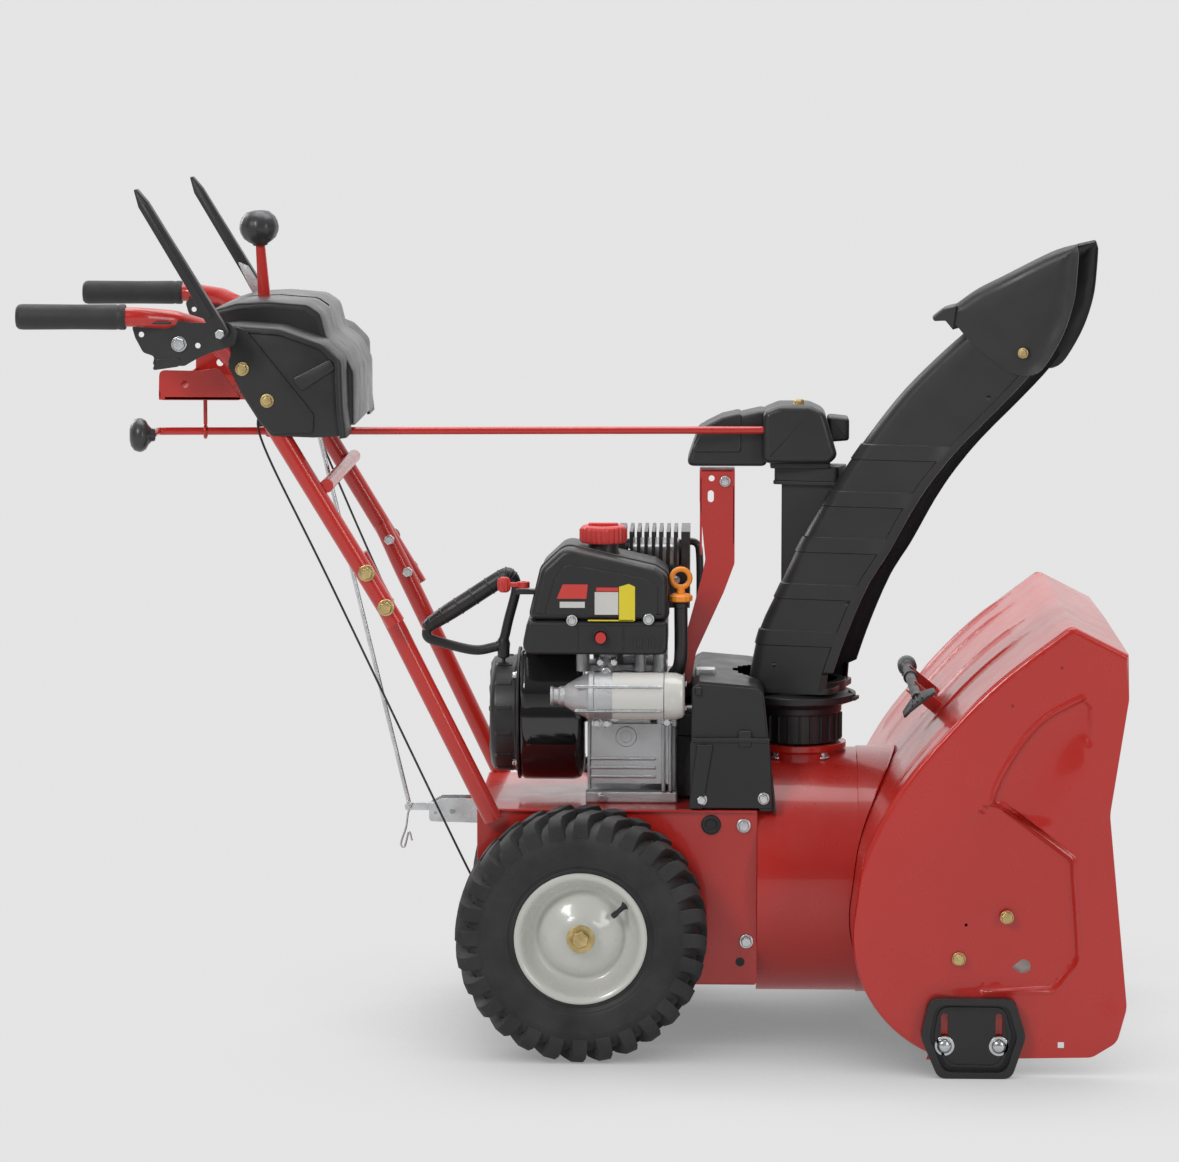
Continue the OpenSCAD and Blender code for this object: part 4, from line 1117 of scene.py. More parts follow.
def parallel(line, depth):
    """An open line moved to its right by a depth."""
    pts = [Vector(p) for p in line]
    moved = []
    for i, p in enumerate(pts):
        way = (pts[min(i + 1, len(pts) - 1)] - pts[max(i - 1, 0)]).normalized()
        moved.append(p + Vector((way.y, -way.x)) * depth)
    return moved


def skin(bm, stations, thick, count=40):
    """A sheet lofted through open lines in X and Z, each given as (y, line)."""
    rings = []
    for y, line in stations:
        line = resampled([Vector(p) for p in line], count)
        rings.append([Vector((p.x, y, p.y)) for p in line + parallel(line, thick)[::-1]])
    loft(bm, rings)


def ring_at(bm, centre, axis, r, tube, steps=32, around=12):
    """A torus."""
    profile = [(r + tube * math.cos(2 * math.pi * k / around), tube * math.sin(2 * math.pi * k / around))
               for k in range(around)]
    turned(bm, profile, centre, axis, steps, closed=True)


def dome(r, high):
    """The profile of a rounded button."""
    turns = [math.pi / 2 * k / 6 for k in range(1, 7)]
    return [(r, 0.0)] + [(r * math.cos(a) + 0.01, high * math.sin(a)) for a in turns]


# ---------------------------------------------------------------- chassis

FRAME_HALF = 145


def make_chassis(mats):
    bolts = bmesh.new()
    for x, z in ((212, 297), (216, 142), (-118, 250), (-96, 112)):
        hex_bolt(bolts, (x, FRAME_HALF, z), (0, 1, 0), 13, 5.5, washer=9.5)
    mirrored(bolts)
    piece("chassis_bolts", bolts, mats["zinc"], "machine", bevel=0.4)
    grommet = bmesh.new()
    hole = (169, -FRAME_HALF - 1.2, 298)
    ring_at(grommet, hole, (0, 1, 0), 10, 3.2)
    turned(grommet, [(7.5, -0.8), (7.5, 0.8)], hole, (0, 1, 0), 24)
    turned(grommet, [(6, 0), (6, 0.7)], (208, -FRAME_HALF - 0.6, 114), (0, 1, 0), 20)
    piece("frame_grommet", grommet, mats["rubber"], "machine")
    lip = bmesh.new()
    for side in (-1, 1):
        outer, inner = side * (FRAME_HALF + 6), side * (FRAME_HALF - 1)
        pillow(lip, fillet([(-140, inner), (230, inner), (230, outer), (-140, outer)], 2), 314.8, 318, 1.2,
               "xy", 2)
    piece("frame_lips", lip, mats["red"], "machine", limit=40)


# ---------------------------------------------------------------- engine

TANK = [(-72, 567), (-56, 634), (-24, 664), (94, 637), (111, 626), (111, 567)]
COVER = [(-83, 521), (-74, 566), (111, 566), (111, 521)]


def make_tank(mats):
    bm = bmesh.new()
    pillow(bm, fillet(TANK, [9, 20, 22, 16, 14, 9], 6), -130, 8, 9, steps=6)
    pillow(bm, fillet(inset(TANK, -2), [9, 20, 22, 16, 14, 9], 6), -97, -91, 2, steps=3)
    pillow(bm, fillet([(-50, 581), (-38, 622), (-22, 642), (84, 622), (98, 612), (98, 574), (-50, 574)],
                      [6, 12, 12, 8, 8, 6, 6]), -131.5, -120, 1.2, steps=2)
    block(bm, (-90, -104, 598), (-58, -88, 604))
    turned(bm, [(23, 0), (22, 8), (20, 12), (20, 30)], (24.5, -60, 640), (0, 0, 1), 40)
    piece("tank_shell", bm, mats["black"], "machine", ("fuel_tank",), bevel=1.0, limit=50)
    cap = bmesh.new()

    def knurl(a, r, h):
        return 0.9 * math.cos(28 * a) if r > 29 and 2 < h < 20 else 0

    turned(cap, [(17, 9), (20.6, 9), (20.6, 0), (30, 0), (31, 3), (31, 17), (29.5, 20.5), (27, 22.5),
                 (20, 23.2), (17, 20),
                 (6, 20), (3, 21)], (24.5, -60, 663), (0, 0, 1), 168, wave=knurl)
    grip = fillet([(-20, -5), (20, -5), (20, 5), (-20, 5)], 4, 4)
    pillow(cap, [Vector((24.5 + p.x, -60 + p.y)) for p in grip], 682, 689, 1.5, "xy", 3)
    piece("fuel_cap_red", cap, mats["red_plastic"], "cap", ("fuel_cap",), bevel=0.8, limit=45)
    bolts = bmesh.new()
    for x, z in ((-15, 567), (86, 569)):
        hex_bolt(bolts, (x, -130.2, z), (0, -1, 0), 10, 4.5, washer=7.5)
    piece("tank_bolts", bolts, mats["zinc"], "machine", bevel=0.3)
    red = bmesh.new()
    prism(red, [(-35, 596), (4, 596), (6, 615), (-27, 615)], -132.3, -131)
    prism(red, [(17, 606), (46, 606), (46, 611), (17, 611)], -132.6, -131)
    piece("tank_badge", red, mats["label_red"], "machine")
    white = bmesh.new()
    prism(white, [(15, 575), (46, 575), (46, 605), (15, 605)], -132.3, -131)
    prism(white, [(-31, 584), (2, 584), (2, 592), (-31, 592)], -132.3, -131)
    piece("tank_label", white, mats["label_white"], "machine")
    yellow = bmesh.new()
    prism(yellow, [(47, 567), (68, 567), (68, 612), (60, 616), (47, 612)], -132.3, -131)
    prism(yellow, [(6, 566.5), (66, 566.5), (66, 568.2), (6, 568.2)], -132.3, -131)
    piece("tank_label_band", yellow, mats["label_yellow"], "machine")


def make_carburettor_cover(mats):
    bm = bmesh.new()
    pillow(bm, fillet(COVER, [16, 7, 7, 12], 6), -130, -20, 6, steps=4)
    for x in (-8, 52):
        prism(bm, [(x, 525), (x + 1.6, 525), (x + 1.6, 562), (x, 562)], -130.8, -129)
    for k in range(5):
        prism(bm, [(66 + 8 * k, 530), (70 + 8 * k, 530), (70 + 8 * k, 545), (66 + 8 * k, 545)], -131, -129)
    piece("carburettor_shroud", bm, mats["black"], "machine", ("carburettor_cover",),
          bevel=0.6, limit=50)
    boot = bmesh.new()
    turned(boot, [(7, 12)] + [(7, 0)] + dome(6.6, 3.2)[1:], (23, -130, 545), (0, -1, 0), 28)
    piece("primer_bulb", boot, mats["red_plastic"], "primer", ("primer_button",))
    ring = bmesh.new()
    ring_at(ring, (23, -130.2, 545), (0, 1, 0), 9.5, 1.8)
    piece("primer_ring", ring, mats["black"], "machine")
    knob = bmesh.new()
    turned(knob, [(3.05, 8), (3.05, 0), (8, 0), (8, 8)], (-80, -96, 606), (0, 0, 1), 28, closed=True)
    pillow(knob, fillet([(-106, -100), (-86, -99.5), (-86, -92.5), (-106, -92)], 2), 607, 613, 1.2, "xy", 2)
    turned(knob, [(5, 0), (8, 3), (8.4, 10), (8, 17), (5, 20)], (-106, -96, 600), (0, 0, 1), 60,
           wave=lambda a, r, h: 0.5 * math.cos(12 * a) if r > 6 else 0)
    piece("choke_knob", knob, mats["red_plastic"], "choke", ("choke_lever",), bevel=0.5,
          limit=45)


def make_blower(mats):
    axle = (0, 0, 425)
    bm = bmesh.new()
    turned(bm, [(78, -86.5), (86, -86.5), (89.6, -82), (90, -70), (90, -16), (88, -8), (82, -3), (60, -1),
                (14.2, -1),
                (14.2, -6), (70, -6), (85.6, -14), (85.6, -80), (78, -82)], axle, (1, 0, 0), 72, closed=True)
    hood = fillet([(-89, 425), (-86, 470), (-62, 519), (62, 519), (86, 470), (89, 425)],
                  [8, 40, 20, 20, 40, 8], 6)
    pillow(bm, hood, -86, -2, 7, "yz", steps=5)
    piece("blower_shroud", bm, mats["gloss"], "machine", ("blower_housing",), bevel=1.2,
          segments=3, limit=50)
    cup = bmesh.new()
    turned(cup, [(89, -87.4), (89.2, -91), (80, -92.5), (78, -95), (78, -118), (75, -124), (70, -127),
                 (30, -127), (12, -125.5),
                 (10, -127.5), (1, -127.5)], axle, (1, 0, 0), 72)
    for k in range(14):
        a = 2 * math.pi * k / 14
        out = Vector((0, math.sin(a), math.cos(a)))
        aside = Vector((0, math.cos(a), -math.sin(a)))
        ring = []
        for r, x in ((34, -128.2), (68, -128.2), (79.3, -118), (79.3, -98), (76, -98), (66, -124),
                     (34, -125)):
            ring.append((r, x))
        loft(cup, [[Vector(axle) + out * r + aside * w + Vector((x, 0, 0)) for r, x in ring] for w in (-3.2,
                                                                                                       3.2)])
    piece("recoil_cup", cup, mats["black"], "machine", ("recoil_cover",), bevel=0.9,
          segments=2, limit=40)
    bolts = bmesh.new()
    for k in range(4):
        a = math.pi / 4 + math.pi / 2 * k
        hex_bolt(bolts, (-91, 83 * math.sin(a), 425 + 83 * math.cos(a)), (-1, 0, 0), 8, 4, washer=5.5)
    piece("recoil_bolts", bolts, mats["zinc"], "machine", bevel=0.3)


def make_recoil_handle(mats):
    y = -32.4
    bm = bmesh.new()
    top = spline([(-214, y, 542), (-206, y, 550), (-160, y, 580), (-112, y, 611), (-100, y, 613),
                  (-92, y, 604)], 5)
    shares = [k / (len(top) - 1) for k in range(len(top))]
    radii = [6.5 + 5.2 * min(1, 3.2 * t, 3.2 * (1 - t)) for t in shares]
    sweep(bm, top, radii, 20)
    for k in range(3, len(top) - 4, 2):
        way = top[k + 1] - top[k - 1]
        ring_at(bm, top[k], way, radii[k] - 0.4, 1.3, 20, 8)
    for path in ([(-213, y, 541), (-212, y, 532), (-200, y, 526), (-150, y, 514), (-118, y, 519)],
                 [(-93, y, 604), (-94, y, 590), (-103, y, 556), (-110, y, 528), (-118, y, 519)]):
        sweep(bm, spline(path, 6), 6.6, 14)
    turned(bm, [(4, 0), (8, 2), (8.2, 12), (9, 20), (7, 27)], (-110, y, 503), (0, 0, 1), 24)
    rod(bm, (-110, y, 362), (-110, y, 508), 2.5, 12)
    piece("recoil_grip", bm, mats["black"], "starter_handle", ("recoil_handle",), limit=50)


def make_starter(mats):
    bm = bmesh.new()
    centre = (0, -138, 468)
    turned(bm, [(13, -43), (13, -40), (11, -38), (11, -32), (13, -30), (13, -24), (15, -22), (22, -10),
                (29, 4), (33, 8),
                (33, 14), (31, 15), (31, 37), (30.2, 38), (30.2, 106), (24, 110), (20, 130)], centre,
           (1, 0, 0), 48)
    piece("starter_body", bm, mats["cast"], "machine", ("starter_motor",), bevel=0.6,
          limit=40)
    wrap = bmesh.new()
    turned(wrap, [(30.9, 39), (30.9, 106), (30.2, 106), (30.2, 39)], centre, (1, 0, 0), 48, closed=True)
    piece("starter_label", wrap, mats["label_white"], "machine")
    cap = bmesh.new()
    turned(cap, [(31, 107), (31, 122), (28, 131), (24, 133.6), (10, 134)], centre, (1, 0, 0), 48)
    piece("starter_end_cap", cap, mats["rim"], "machine", bevel=0.6)
    screws = bmesh.new()
    for z in (-16, 16):
        hex_bolt(screws, (133.4, -138, 468 + z), (1, 0, 0), 7, 3)
        rod(screws, (-10, -166, 468 + z), (104, -166, 468 + z), 2.2, 12)
    piece("starter_screws", screws, mats["zinc"], "machine", bevel=0.2)


def make_block(mats):
    bm = bmesh.new()
    for side in (-1, 1):
        low, high = (50, 92) if side > 0 else (-92, -50)
        pillow(bm, fillet([(2, low), (124, low), (124, high), (2, high)], 8), 318, 325, 1.5, "xy", 3)
    body = fillet([(4, 325), (121, 325), (121, 440), (114, 480), (10, 480), (4, 470)], [2, 2, 10, 10, 6, 4],
                  4)
    pillow(bm, body, -80, 62, 5, steps=4)
    pillow(bm, fillet([(14, 348), (94, 348), (98, 372), (88, 436), (30, 436), (12, 400)], 9), -96, -78, 4)
    for z in (352, 364, 376):
        pillow(bm, fillet([(8, z), (96, z), (96, z + 5), (8, z + 5)], 2.2, 3), -102, -76, 2.2, steps=3)
    for low, high in (((2, 318), (124, 334)), ((96, 420), (124, 436))):
        pillow(bm, fillet([low, (high[0], low[1]), high, (low[0], high[1])], 3.5), -99, -76, 3)
    pillow(bm, fillet([(114, 330), (123, 330), (123, 476), (114, 476)], 3), -84, 66, 3)
    pillow(bm, fillet([(44, 452), (98, 452), (98, 484), (44, 484)], 5), -106, -78, 3)
    head = (62, 15, 430)
    turned(bm, [(38, 0), (38, 30)], head, (0, 1, 1), 40)
    for k in range(8):
        turned(bm, [(38, 42 + 13 * k - 2), (46, 42 + 13 * k - 2), (47, 42 + 13 * k), (46, 42 + 13 * k + 2),
                    (38, 42 + 13 * k + 2)], head, (0, 1, 1), 40)
    turned(bm, [(38, 30), (38, 137)], head, (0, 1, 1), 32)
    for x in (103, 112):
        pillow(bm, fillet([(x, 334), (x + 5, 334), (x + 5, 426), (x, 426)], 2, 3), -103, -78, 2, steps=3)
    turned(bm, [(15, 0), (15, 5), (13, 7), (8, 7), (7, 5), (1, 5)], (56, -94, 408), (0, -1, 0), 32)
    for x, r in ((-2, 9), (30, 11), (74, 8), (100, 9)):
        turned(bm, [(r, 0), (r, 26), (r - 2, 28)], (x, -84, 494), (0, 0, 1), 24)
    pillow(bm, fillet([(-8, 492), (110, 492), (110, 503), (-8, 503)], 3), -84, -30, 3)
    piece("block_casting", bm, mats["cast"], "machine", (), bevel=0.8, limit=45)
    bolts = bmesh.new()
    for x, y, z in ((22, -71, 325), (104, -71, 325), (22, 71, 325), (104, 71, 325)):
        hex_bolt(bolts, (x, y, z), (0, 0, 1), 13, 6, washer=9)
    for x, z in ((24, 326), (110, 428), (30, 426), (52, 460), (90, 460)):
        hex_bolt(bolts, (x, -99 if z < 440 else -106, z), (0, -1, 0), 10, 4.5, washer=7)
    for x, z in ((30, 498), (42, 440), (18, 432)):
        hex_bolt(bolts, (x, -134, z), (0, -1, 0), 9, 5, washer=7)
        rod(bolts, (x, -134, z), (x, -84, z), 5, 16)
    for x in (22, 40):
        rod(bolts, (x, -122, 510), (x, -60, 510), 3)
        hex_bolt(bolts, (x, -119, 510), (0, -1, 0), 9, 5)
    piece("engine_bolts", bolts, mats["zinc"], "machine", bevel=0.3)


def make_engine_face(mats):
    """The dark adaptor between the block and the belt cover, above and below the crankshaft."""
    bm = bmesh.new()
    pillow(bm, fillet([(119, 322), (146, 322), (146, 404), (119, 404)], 3), -66, 66, 2)
    pillow(bm, fillet([(119, 446), (146, 446), (146, 476), (119, 476)], 3), 2, 66, 2)
    pillow(bm, fillet([(119, 404), (146, 404), (146, 446), (119, 446)], 3), 24, 66, 2)
    pillow(bm, fillet([(119, 404), (146, 404), (146, 432), (119, 432)], 3), -66, -24, 2)
    piece("engine_face", bm, mats["iron"], "machine", bevel=0.5)
    bracket = bmesh.new()
    for y in (-17.4, 14.4):
        outline = fillet([(-212, 278), (-138, 276), (-138, 309), (-196, 309), (-212, 300)], [5, 3, 3, 8, 5],
                         4)
        plate(bracket, outline, [circle(-180, 292, 4, 16), circle(-203, 290, 2.5, 12)], y, y + 3)
    piece("arm_bracket", bracket, mats["zinc"], "machine", bevel=0.5, limit=40)
    clip = bmesh.new()
    sweep(clip, spline([(-235, -9, 302), (-241, -9, 288), (-244, -9, 268), (-251, -9, 246), (-246, -9, 242),
                        (-240, -9, 262),
                        (-236, -9, 250)], 6), 1.4, 10)
    rod(clip, (-240, -10, 294), (-240, 12, 294), 3.4, 16)
    piece("arm_clip", clip, mats["zinc"], "speed_arm", limit=50)


def make_dipstick(mats):
    bm = bmesh.new()
    sweep(bm, spline([(112, -70, 474), (120, -85, 490), (128, -100, 512), (128, -100, 588)], 6), 9, 20)
    turned(bm, [(9, 0), (10.5, 1), (10.5, 6), (9, 7)], (128, -100, 580.5), (0, 0, 1), 28)
    piece("filler_tube", bm, mats["black"], "machine", ("dipstick_tube",), limit=40)
    top = bmesh.new()
    turned(top, [(4.5, -70), (4.5, 0), (12, 0.4), (15, 2), (15, 8), (12, 10.6), (6, 11), (5, 20)],
           (128, -100, 588.5), (0, 0, 1), 48,
           wave=lambda a, r, h: 0.5 * math.cos(16 * a) if r > 14 else 0)
    ring_at(top, (128, -100, 620), (0, 1, 0), 12, 3.5)
    piece("dipstick_ring", top, mats["orange"], "oil_dipstick", ("dipstick",), limit=40)


def make_muffler(mats):
    bm = bmesh.new()
    outline = fillet([(48, 566), (130, 566), (130, 648), (48, 648)], 14, 5)
    pillow(bm, outline, 50, 148, 9, steps=4)
    rod(bm, (85, 92, 520), (85, 92, 570), 14)
    piece("muffler_can", bm, mats["steel"], "machine", ("muffler",), limit=40)
    tube = bmesh.new()
    sweep(tube, spline([(136, 60, 652), (148, 60, 648), (152, 60, 630), (152, 60, 560), (146, 60, 520)], 6),
          5, 16)
    piece("guard_stay", tube, mats["black_paint"], "machine")
    heads = bmesh.new()
    for x in (60, 120):
        hex_bolt(heads, (x, 44, 600), (0, -1, 0), 9, 4, washer=6)
    piece("guard_bolts", heads, mats["zinc"], "machine", bevel=0.3)


# ---------------------------------------------------------------- belt cover, bracket, control head

def make_belt_cover(mats):
    half = FRAME_HALF + 1
    bm = bmesh.new()
    strip = fillet([(146, 319), (146, 478), (153, 486), (234, 479), (252, 314)], [0, 10, 8, 16, 0], 5,
                   closed=False)
    for y0, y1 in ((-half, -half + 5), (half - 5, half)):
        outline = fillet([(143, 318.5), (143, 480), (151, 486), (236, 479), (251, 330), (251, 316),
                          (231, 316), (231, 318.5)],
                         [2, 8, 6, 12, 4, 3, 1, 1], 4)
        pillow(bm, outline, y0, y1, 2)
    cut_skin(bm, half, strip)
    for side in (-1, 1):
        face = side * half
        low = fillet([(141, 320), (141, 408), (146, 412), (246, 412), (250, 330), (250, 320)],
                     [3, 5, 4, 5, 4, 3], 4)
        ends = sorted((face - side * 3, face + side * 3.5))
        pillow(bm, low, ends[0], ends[1], 2.5, steps=3)
        bump = sorted((face - side * 6, face + side * 5))
        pillow(bm, fillet([(204, 402), (222, 402), (222, 424), (204, 424)], 4), bump[0], bump[1] + side, 2)
        pillow(bm, fillet([(143, 408), (246, 408), (246, 414), (143, 414)], 2),
               *sorted((face - side, face + side * 6)), 1.6)
        ramp = fillet([(139, 320), (158, 320), (172, 406), (150, 406)], [3, 3, 3, 3], 4)
        pillow(bm, ramp, *sorted((face + side * 1, face + side * 6.5)), 2)
        pillow(bm, fillet([(148, 470), (156, 470), (156, 482), (148, 482)], 2), bump[0], bump[1], 2)
    piece("belt_guard", bm, mats["black"], "machine", ("belt_cover",), bevel=0.8, limit=45)
    bolts = bmesh.new()
    for x, z in ((156, 332), (238, 334)):
        hex_bolt(bolts, (x, half + 3.2, z), (0, 1, 0), 11, 5, washer=8)
    mirrored(bolts)
    piece("belt_guard_bolts", bolts, mats["zinc"], "machine", bevel=0.3)


def cut_skin(bm, half, line):
    """The belt guard's back, top and front, cut out round the chute's foot and the crankshaft."""
    pts = [Vector(p) for p in line]
    span = lengths(pts)[-1]
    stay = []
    for k in range(97):
        y = -half + 2 * half * k / 96
        reach = math.sqrt(max(84.5 ** 2 - y * y, 0))
        stay.append(Vector((y, 287 - reach if reach else 999)))
    outline = []
    steps = 60
    low = Vector((0, -half + 1))
    outline.append(low)
    for k in range(1, steps):
        outline.append(Vector((span * k / steps, -half + 1)))
    outline.append(Vector((span, -half + 1)))
    for q in stay[1:-1]:
        end = span
        for k in range(steps, 0, -1):
            p = along(pts, k / steps)
            if p.x < q.y or p.y < 0:
                end = span * k / steps
                break
        outline.append(Vector((min(end, span), q.x)))
    outline.append(Vector((span, half - 1)))
    for k in range(steps - 1, 0, -1):
        outline.append(Vector((span * k / steps, half - 1)))
    outline.append(Vector((0, half - 1)))
    turns = [2 * math.pi * k / 24 for k in range(24)]
    shaft = [Vector((425 - 319 + 15 * math.cos(a), 15 * math.sin(a))) for a in turns]

    def place(u, v, depth):
        s = min(max(u, 0), span)
        a, b = along(pts, max(s - 1, 0) / span), along(pts, min(s + 1, span) / span)
        way = (b - a).normalized()
        p = along(pts, s / span) + Vector((way.y, -way.x)) * (depth - 3)
        return Vector((p.x, v, p.y))

    sheet(bm, outline, [shaft], place, 3, spacing=12.0)


def make_bracket(mats):
    bm = bmesh.new()
    web = [(152, 757), (199, 757), (199, 632), (185, 594), (148, 512), (141, 470), (127, 470), (129, 517),
           (155, 612),
           (160, 637), (152, 717)]
    web = fillet(web, [2, 2, 14, 30, 40, 4, 4, 40, 30, 14, 14], 5)
    holes = [slot_outline(167, 718, 726, 4), circle(168, 746, 4), circle(186, 742, 4)]
    plate(bm, web, holes, -33, -30)
    pillow(bm, fillet([(152, -33), (199, -33), (199, 12), (152, 12)], 3), 754.4, 757.6, 1, "xy", 2)
    pillow(bm, fillet([(-33, 640), (-8, 652), (-8, 744), (-33, 754)], 5), 152.4, 155.4, 1, "yz", 2)
    pillow(bm, fillet([(-33, 650), (-12, 662), (-12, 734), (-33, 744)], 5), 196, 199, 1, "yz", 2)
    foot = fillet([(-56, 440), (-4, 440), (-4, 492), (-56, 492)], 7)
    pillow(bm, fillet([(-56, 442), (-16, 442), (-16, 490), (-56, 490)], 6), 121.5, 126, 1, "yz", 2)
    prism_x(bm, foot, 123.6, 126)
    piece("bracket_steel", bm, mats["red"], "machine", ("chute_bracket",), bevel=0.9, limit=40)
    bolts = bmesh.new()
    for z in (452, 480):
        hex_bolt(bolts, (126.4, -44, z), (1, 0, 0), 11, 5, washer=8)
    pillow(bolts, fillet([(147, -70), (174, -70), (174, -48), (147, -48)], 3), 484, 495, 2, "xy", 3)
    hex_bolt(bolts, (186, -33, 742), (0, -1, 0), 10, 5, washer=7.5)
    piece("bracket_bolts", bolts, mats["zinc"], "machine", bevel=0.3)


def make_control_head(mats):
    bm = bmesh.new()
    rear = fillet([(133, 762), (150, 812), (176, 824), (242, 839), (242, 762)], [9, 14, 18, 9, 9], 5)
    pillow(bm, rear, -34, 44, 7, steps=5)
    pillow(bm, fillet([(140, 780), (158, 816), (182, 828), (208, 834), (208, 780)], [6, 10, 12, 6, 6], 4),
           -36, 46, 4, steps=4)
    front = fillet([(236, 768), (236, 836), (258, 845), (298, 845), (318, 836), (335, 778), (325, 768)],
                   [10, 11, 16, 18, 18, 11, 11], 5)
    pillow(bm, front, -58, 44, 9, steps=6)
    pillow(bm, fillet([(324, 794), (351, 796), (351, 826), (322, 829)], 5), -26, 26, 5, steps=4)
    pillow(bm, fillet([(246, 760), (326, 760), (326, 768), (246, 768)], 2), -40, 40, 2)
    piece("control_housing", bm, mats["black"], "machine", ("control_head",), bevel=1.0,
          limit=45)
    bolts = bmesh.new()
    hex_bolt(bolts, (284, -20, 843), (0, 0, 1), 13, 6, washer=9)
    piece("control_bolt", bolts, mats["gold"], "machine", bevel=0.4)


ROD_START, ROD_END = Vector((258, -44, 811.8)), Vector((-553, -174, 819.3))


def make_crank(mats):
    back = (ROD_END - ROD_START).normalized()
    arm = ROD_END + Vector((0, -58, 0))
    bm = bmesh.new()
    bend = fillet([ROD_START, ROD_END + back * 1.0, arm], [0, 9, 0], 6, closed=False)
    sweep(bm, bend, 5, 18)
    turned(bm, [(4.9, 0), (8, 0.5), (8, 22), (4.9, 23)], ROD_START - back * 14, back, 20)
    piece("crank_bar", bm, mats["red"], "chute_crank", ("crank_rod",), limit=40)
    knob = bmesh.new()
    profile = [(6, -4), (8, -3), (8.6, 1), (13, 5), (18.5, 8), (21.6, 13), (22, 17), (20, 23), (14, 27.5),
               (7, 29)]
    turned(knob, profile, arm, back, 40)
    piece("crank_knob", knob, mats["panel"], "chute_crank", limit=60)


# ---------------------------------------------------------------- handles

def make_handles(mats):
    lower = bmesh.new()
    for side in (-1, 1):
        base, top = Vector((-118, 158 * side, 306)), Vector((-290, 186 * side, 660))
        path = [base.lerp(top, k / 24) for k in range(25)]
        sweep(lower, path, [12.5 if k < 20 else 12.5 - 1.2 * rise(k, 20, 23) for k in range(25)], 24)
    piece("handle_lower_tubes", lower, mats["red"], "machine", ("lower_handles",), limit=50)
    upper = bmesh.new()
    for side in (-1, 1):
        points = [(-241, 212, 573), (-445, 216, 910), (-484, 240, 957), (-518, 270, 970), (-560, 293, 975),
                  (-700, 293, 975)]
        path = fillet([(x, y * side, z) for x, y, z in points], [0, 46, 46, 46, 46, 0], 7, closed=False)
        sweep(upper, path, 12.5, 24)
    sweep(upper, [(-330, -212, 752), (-330, 212, 752)], 9, 20)
    piece("handle_upper_tubes", upper, mats["red"], "machine", ("upper_handles",), limit=50)
    gold, zinc = bmesh.new(), bmesh.new()
    for x, z in ((-278, 640), (-253, 595)):
        for side, bm in ((-1, gold), (1, zinc)):
            hex_bolt(bm, (x, 224 * side, z), (0, side, 0), 15, 7, washer=11)
            rod(bm, (x, 168 * side, z), (x, 226 * side, z), 4, 16)
            hex_bolt(bm, (x, 170 * side, z), (0, -side, 0), 13, 6)
    piece("handle_bolts_right", gold, mats["gold"], "machine", ("handle_bolts",), bevel=0.4)
    piece("handle_bolts_left", zinc, mats["zinc"], "machine", bevel=0.4)


def make_grips(mats):
    bm = bmesh.new()
    profile = [(12.6, 577), (15.4, 577), (16.4, 578.5), (16.4, 584), (15.8, 586), (15.8, 588), (16.3, 590),
               (15.9, 640),
               (16.4, 700), (16.4, 709), (15.6, 713.5), (13, 716.4), (5, 717), (4, 716), (1, 716)]
    turned(bm, profile, (0, 293, 975), (-1, 0, 0), 40)
    mirrored(bm)
    piece("grip_sleeves", bm, mats["rubber"], "machine", ("grips",), limit=50)


def lever_place(u, w):
    """A clutch lever's own axes, across and along it, in X and Z."""
    tilt = math.radians(30.6)
    return Vector((-456 + u * math.cos(tilt) - w * math.sin(tilt),
                   954 + u * math.sin(tilt) + w * math.cos(tilt)))


def make_levers(mats):
    outline = [(-10, -8), (10, -8), (10.5, 14), (9.5, 60), (7.6, 190), (4, 211), (0, 212), (-6.2, 190),
               (-6.4, 60), (-8.5, 14)]
    outline = fillet([lever_place(u, w) for u, w in outline], [9, 9, 8, 20, 12, 3.6, 3.6, 12, 20, 8], 4)
    wedge = fillet([lever_place(u, w) for u, w in ((-9, 12), (9, 12), (7, 64), (-3, 78))], [3, 3, 4, 2], 4)
    for side, body, node in ((-1, "right_lever", "lever_right"), (1, "left_lever", "lever_left")):
        bm = bmesh.new()
        low, high = sorted((284 * side, 304 * side))
        pillow(bm, outline, low, high, 2.2, steps=4)
        spine = fillet([lever_place(u, w) for u, w in ((-4, 24), (4, 24), (3, 190), (-3, 190))], 2)
        out = sorted((304 * side, 305.2 * side))
        pillow(bm, spine, out[0] - 0.4, out[1], 0.5, steps=2)
        piece(node + "_moulding", bm, mats["black"], body, (node,), limit=45)
        if side > 0:
            inlay = bmesh.new()
            pillow(inlay, wedge, 283.6, 286, 0.3, steps=2)
            piece(node + "_inlay", inlay, mats["cast"], body)


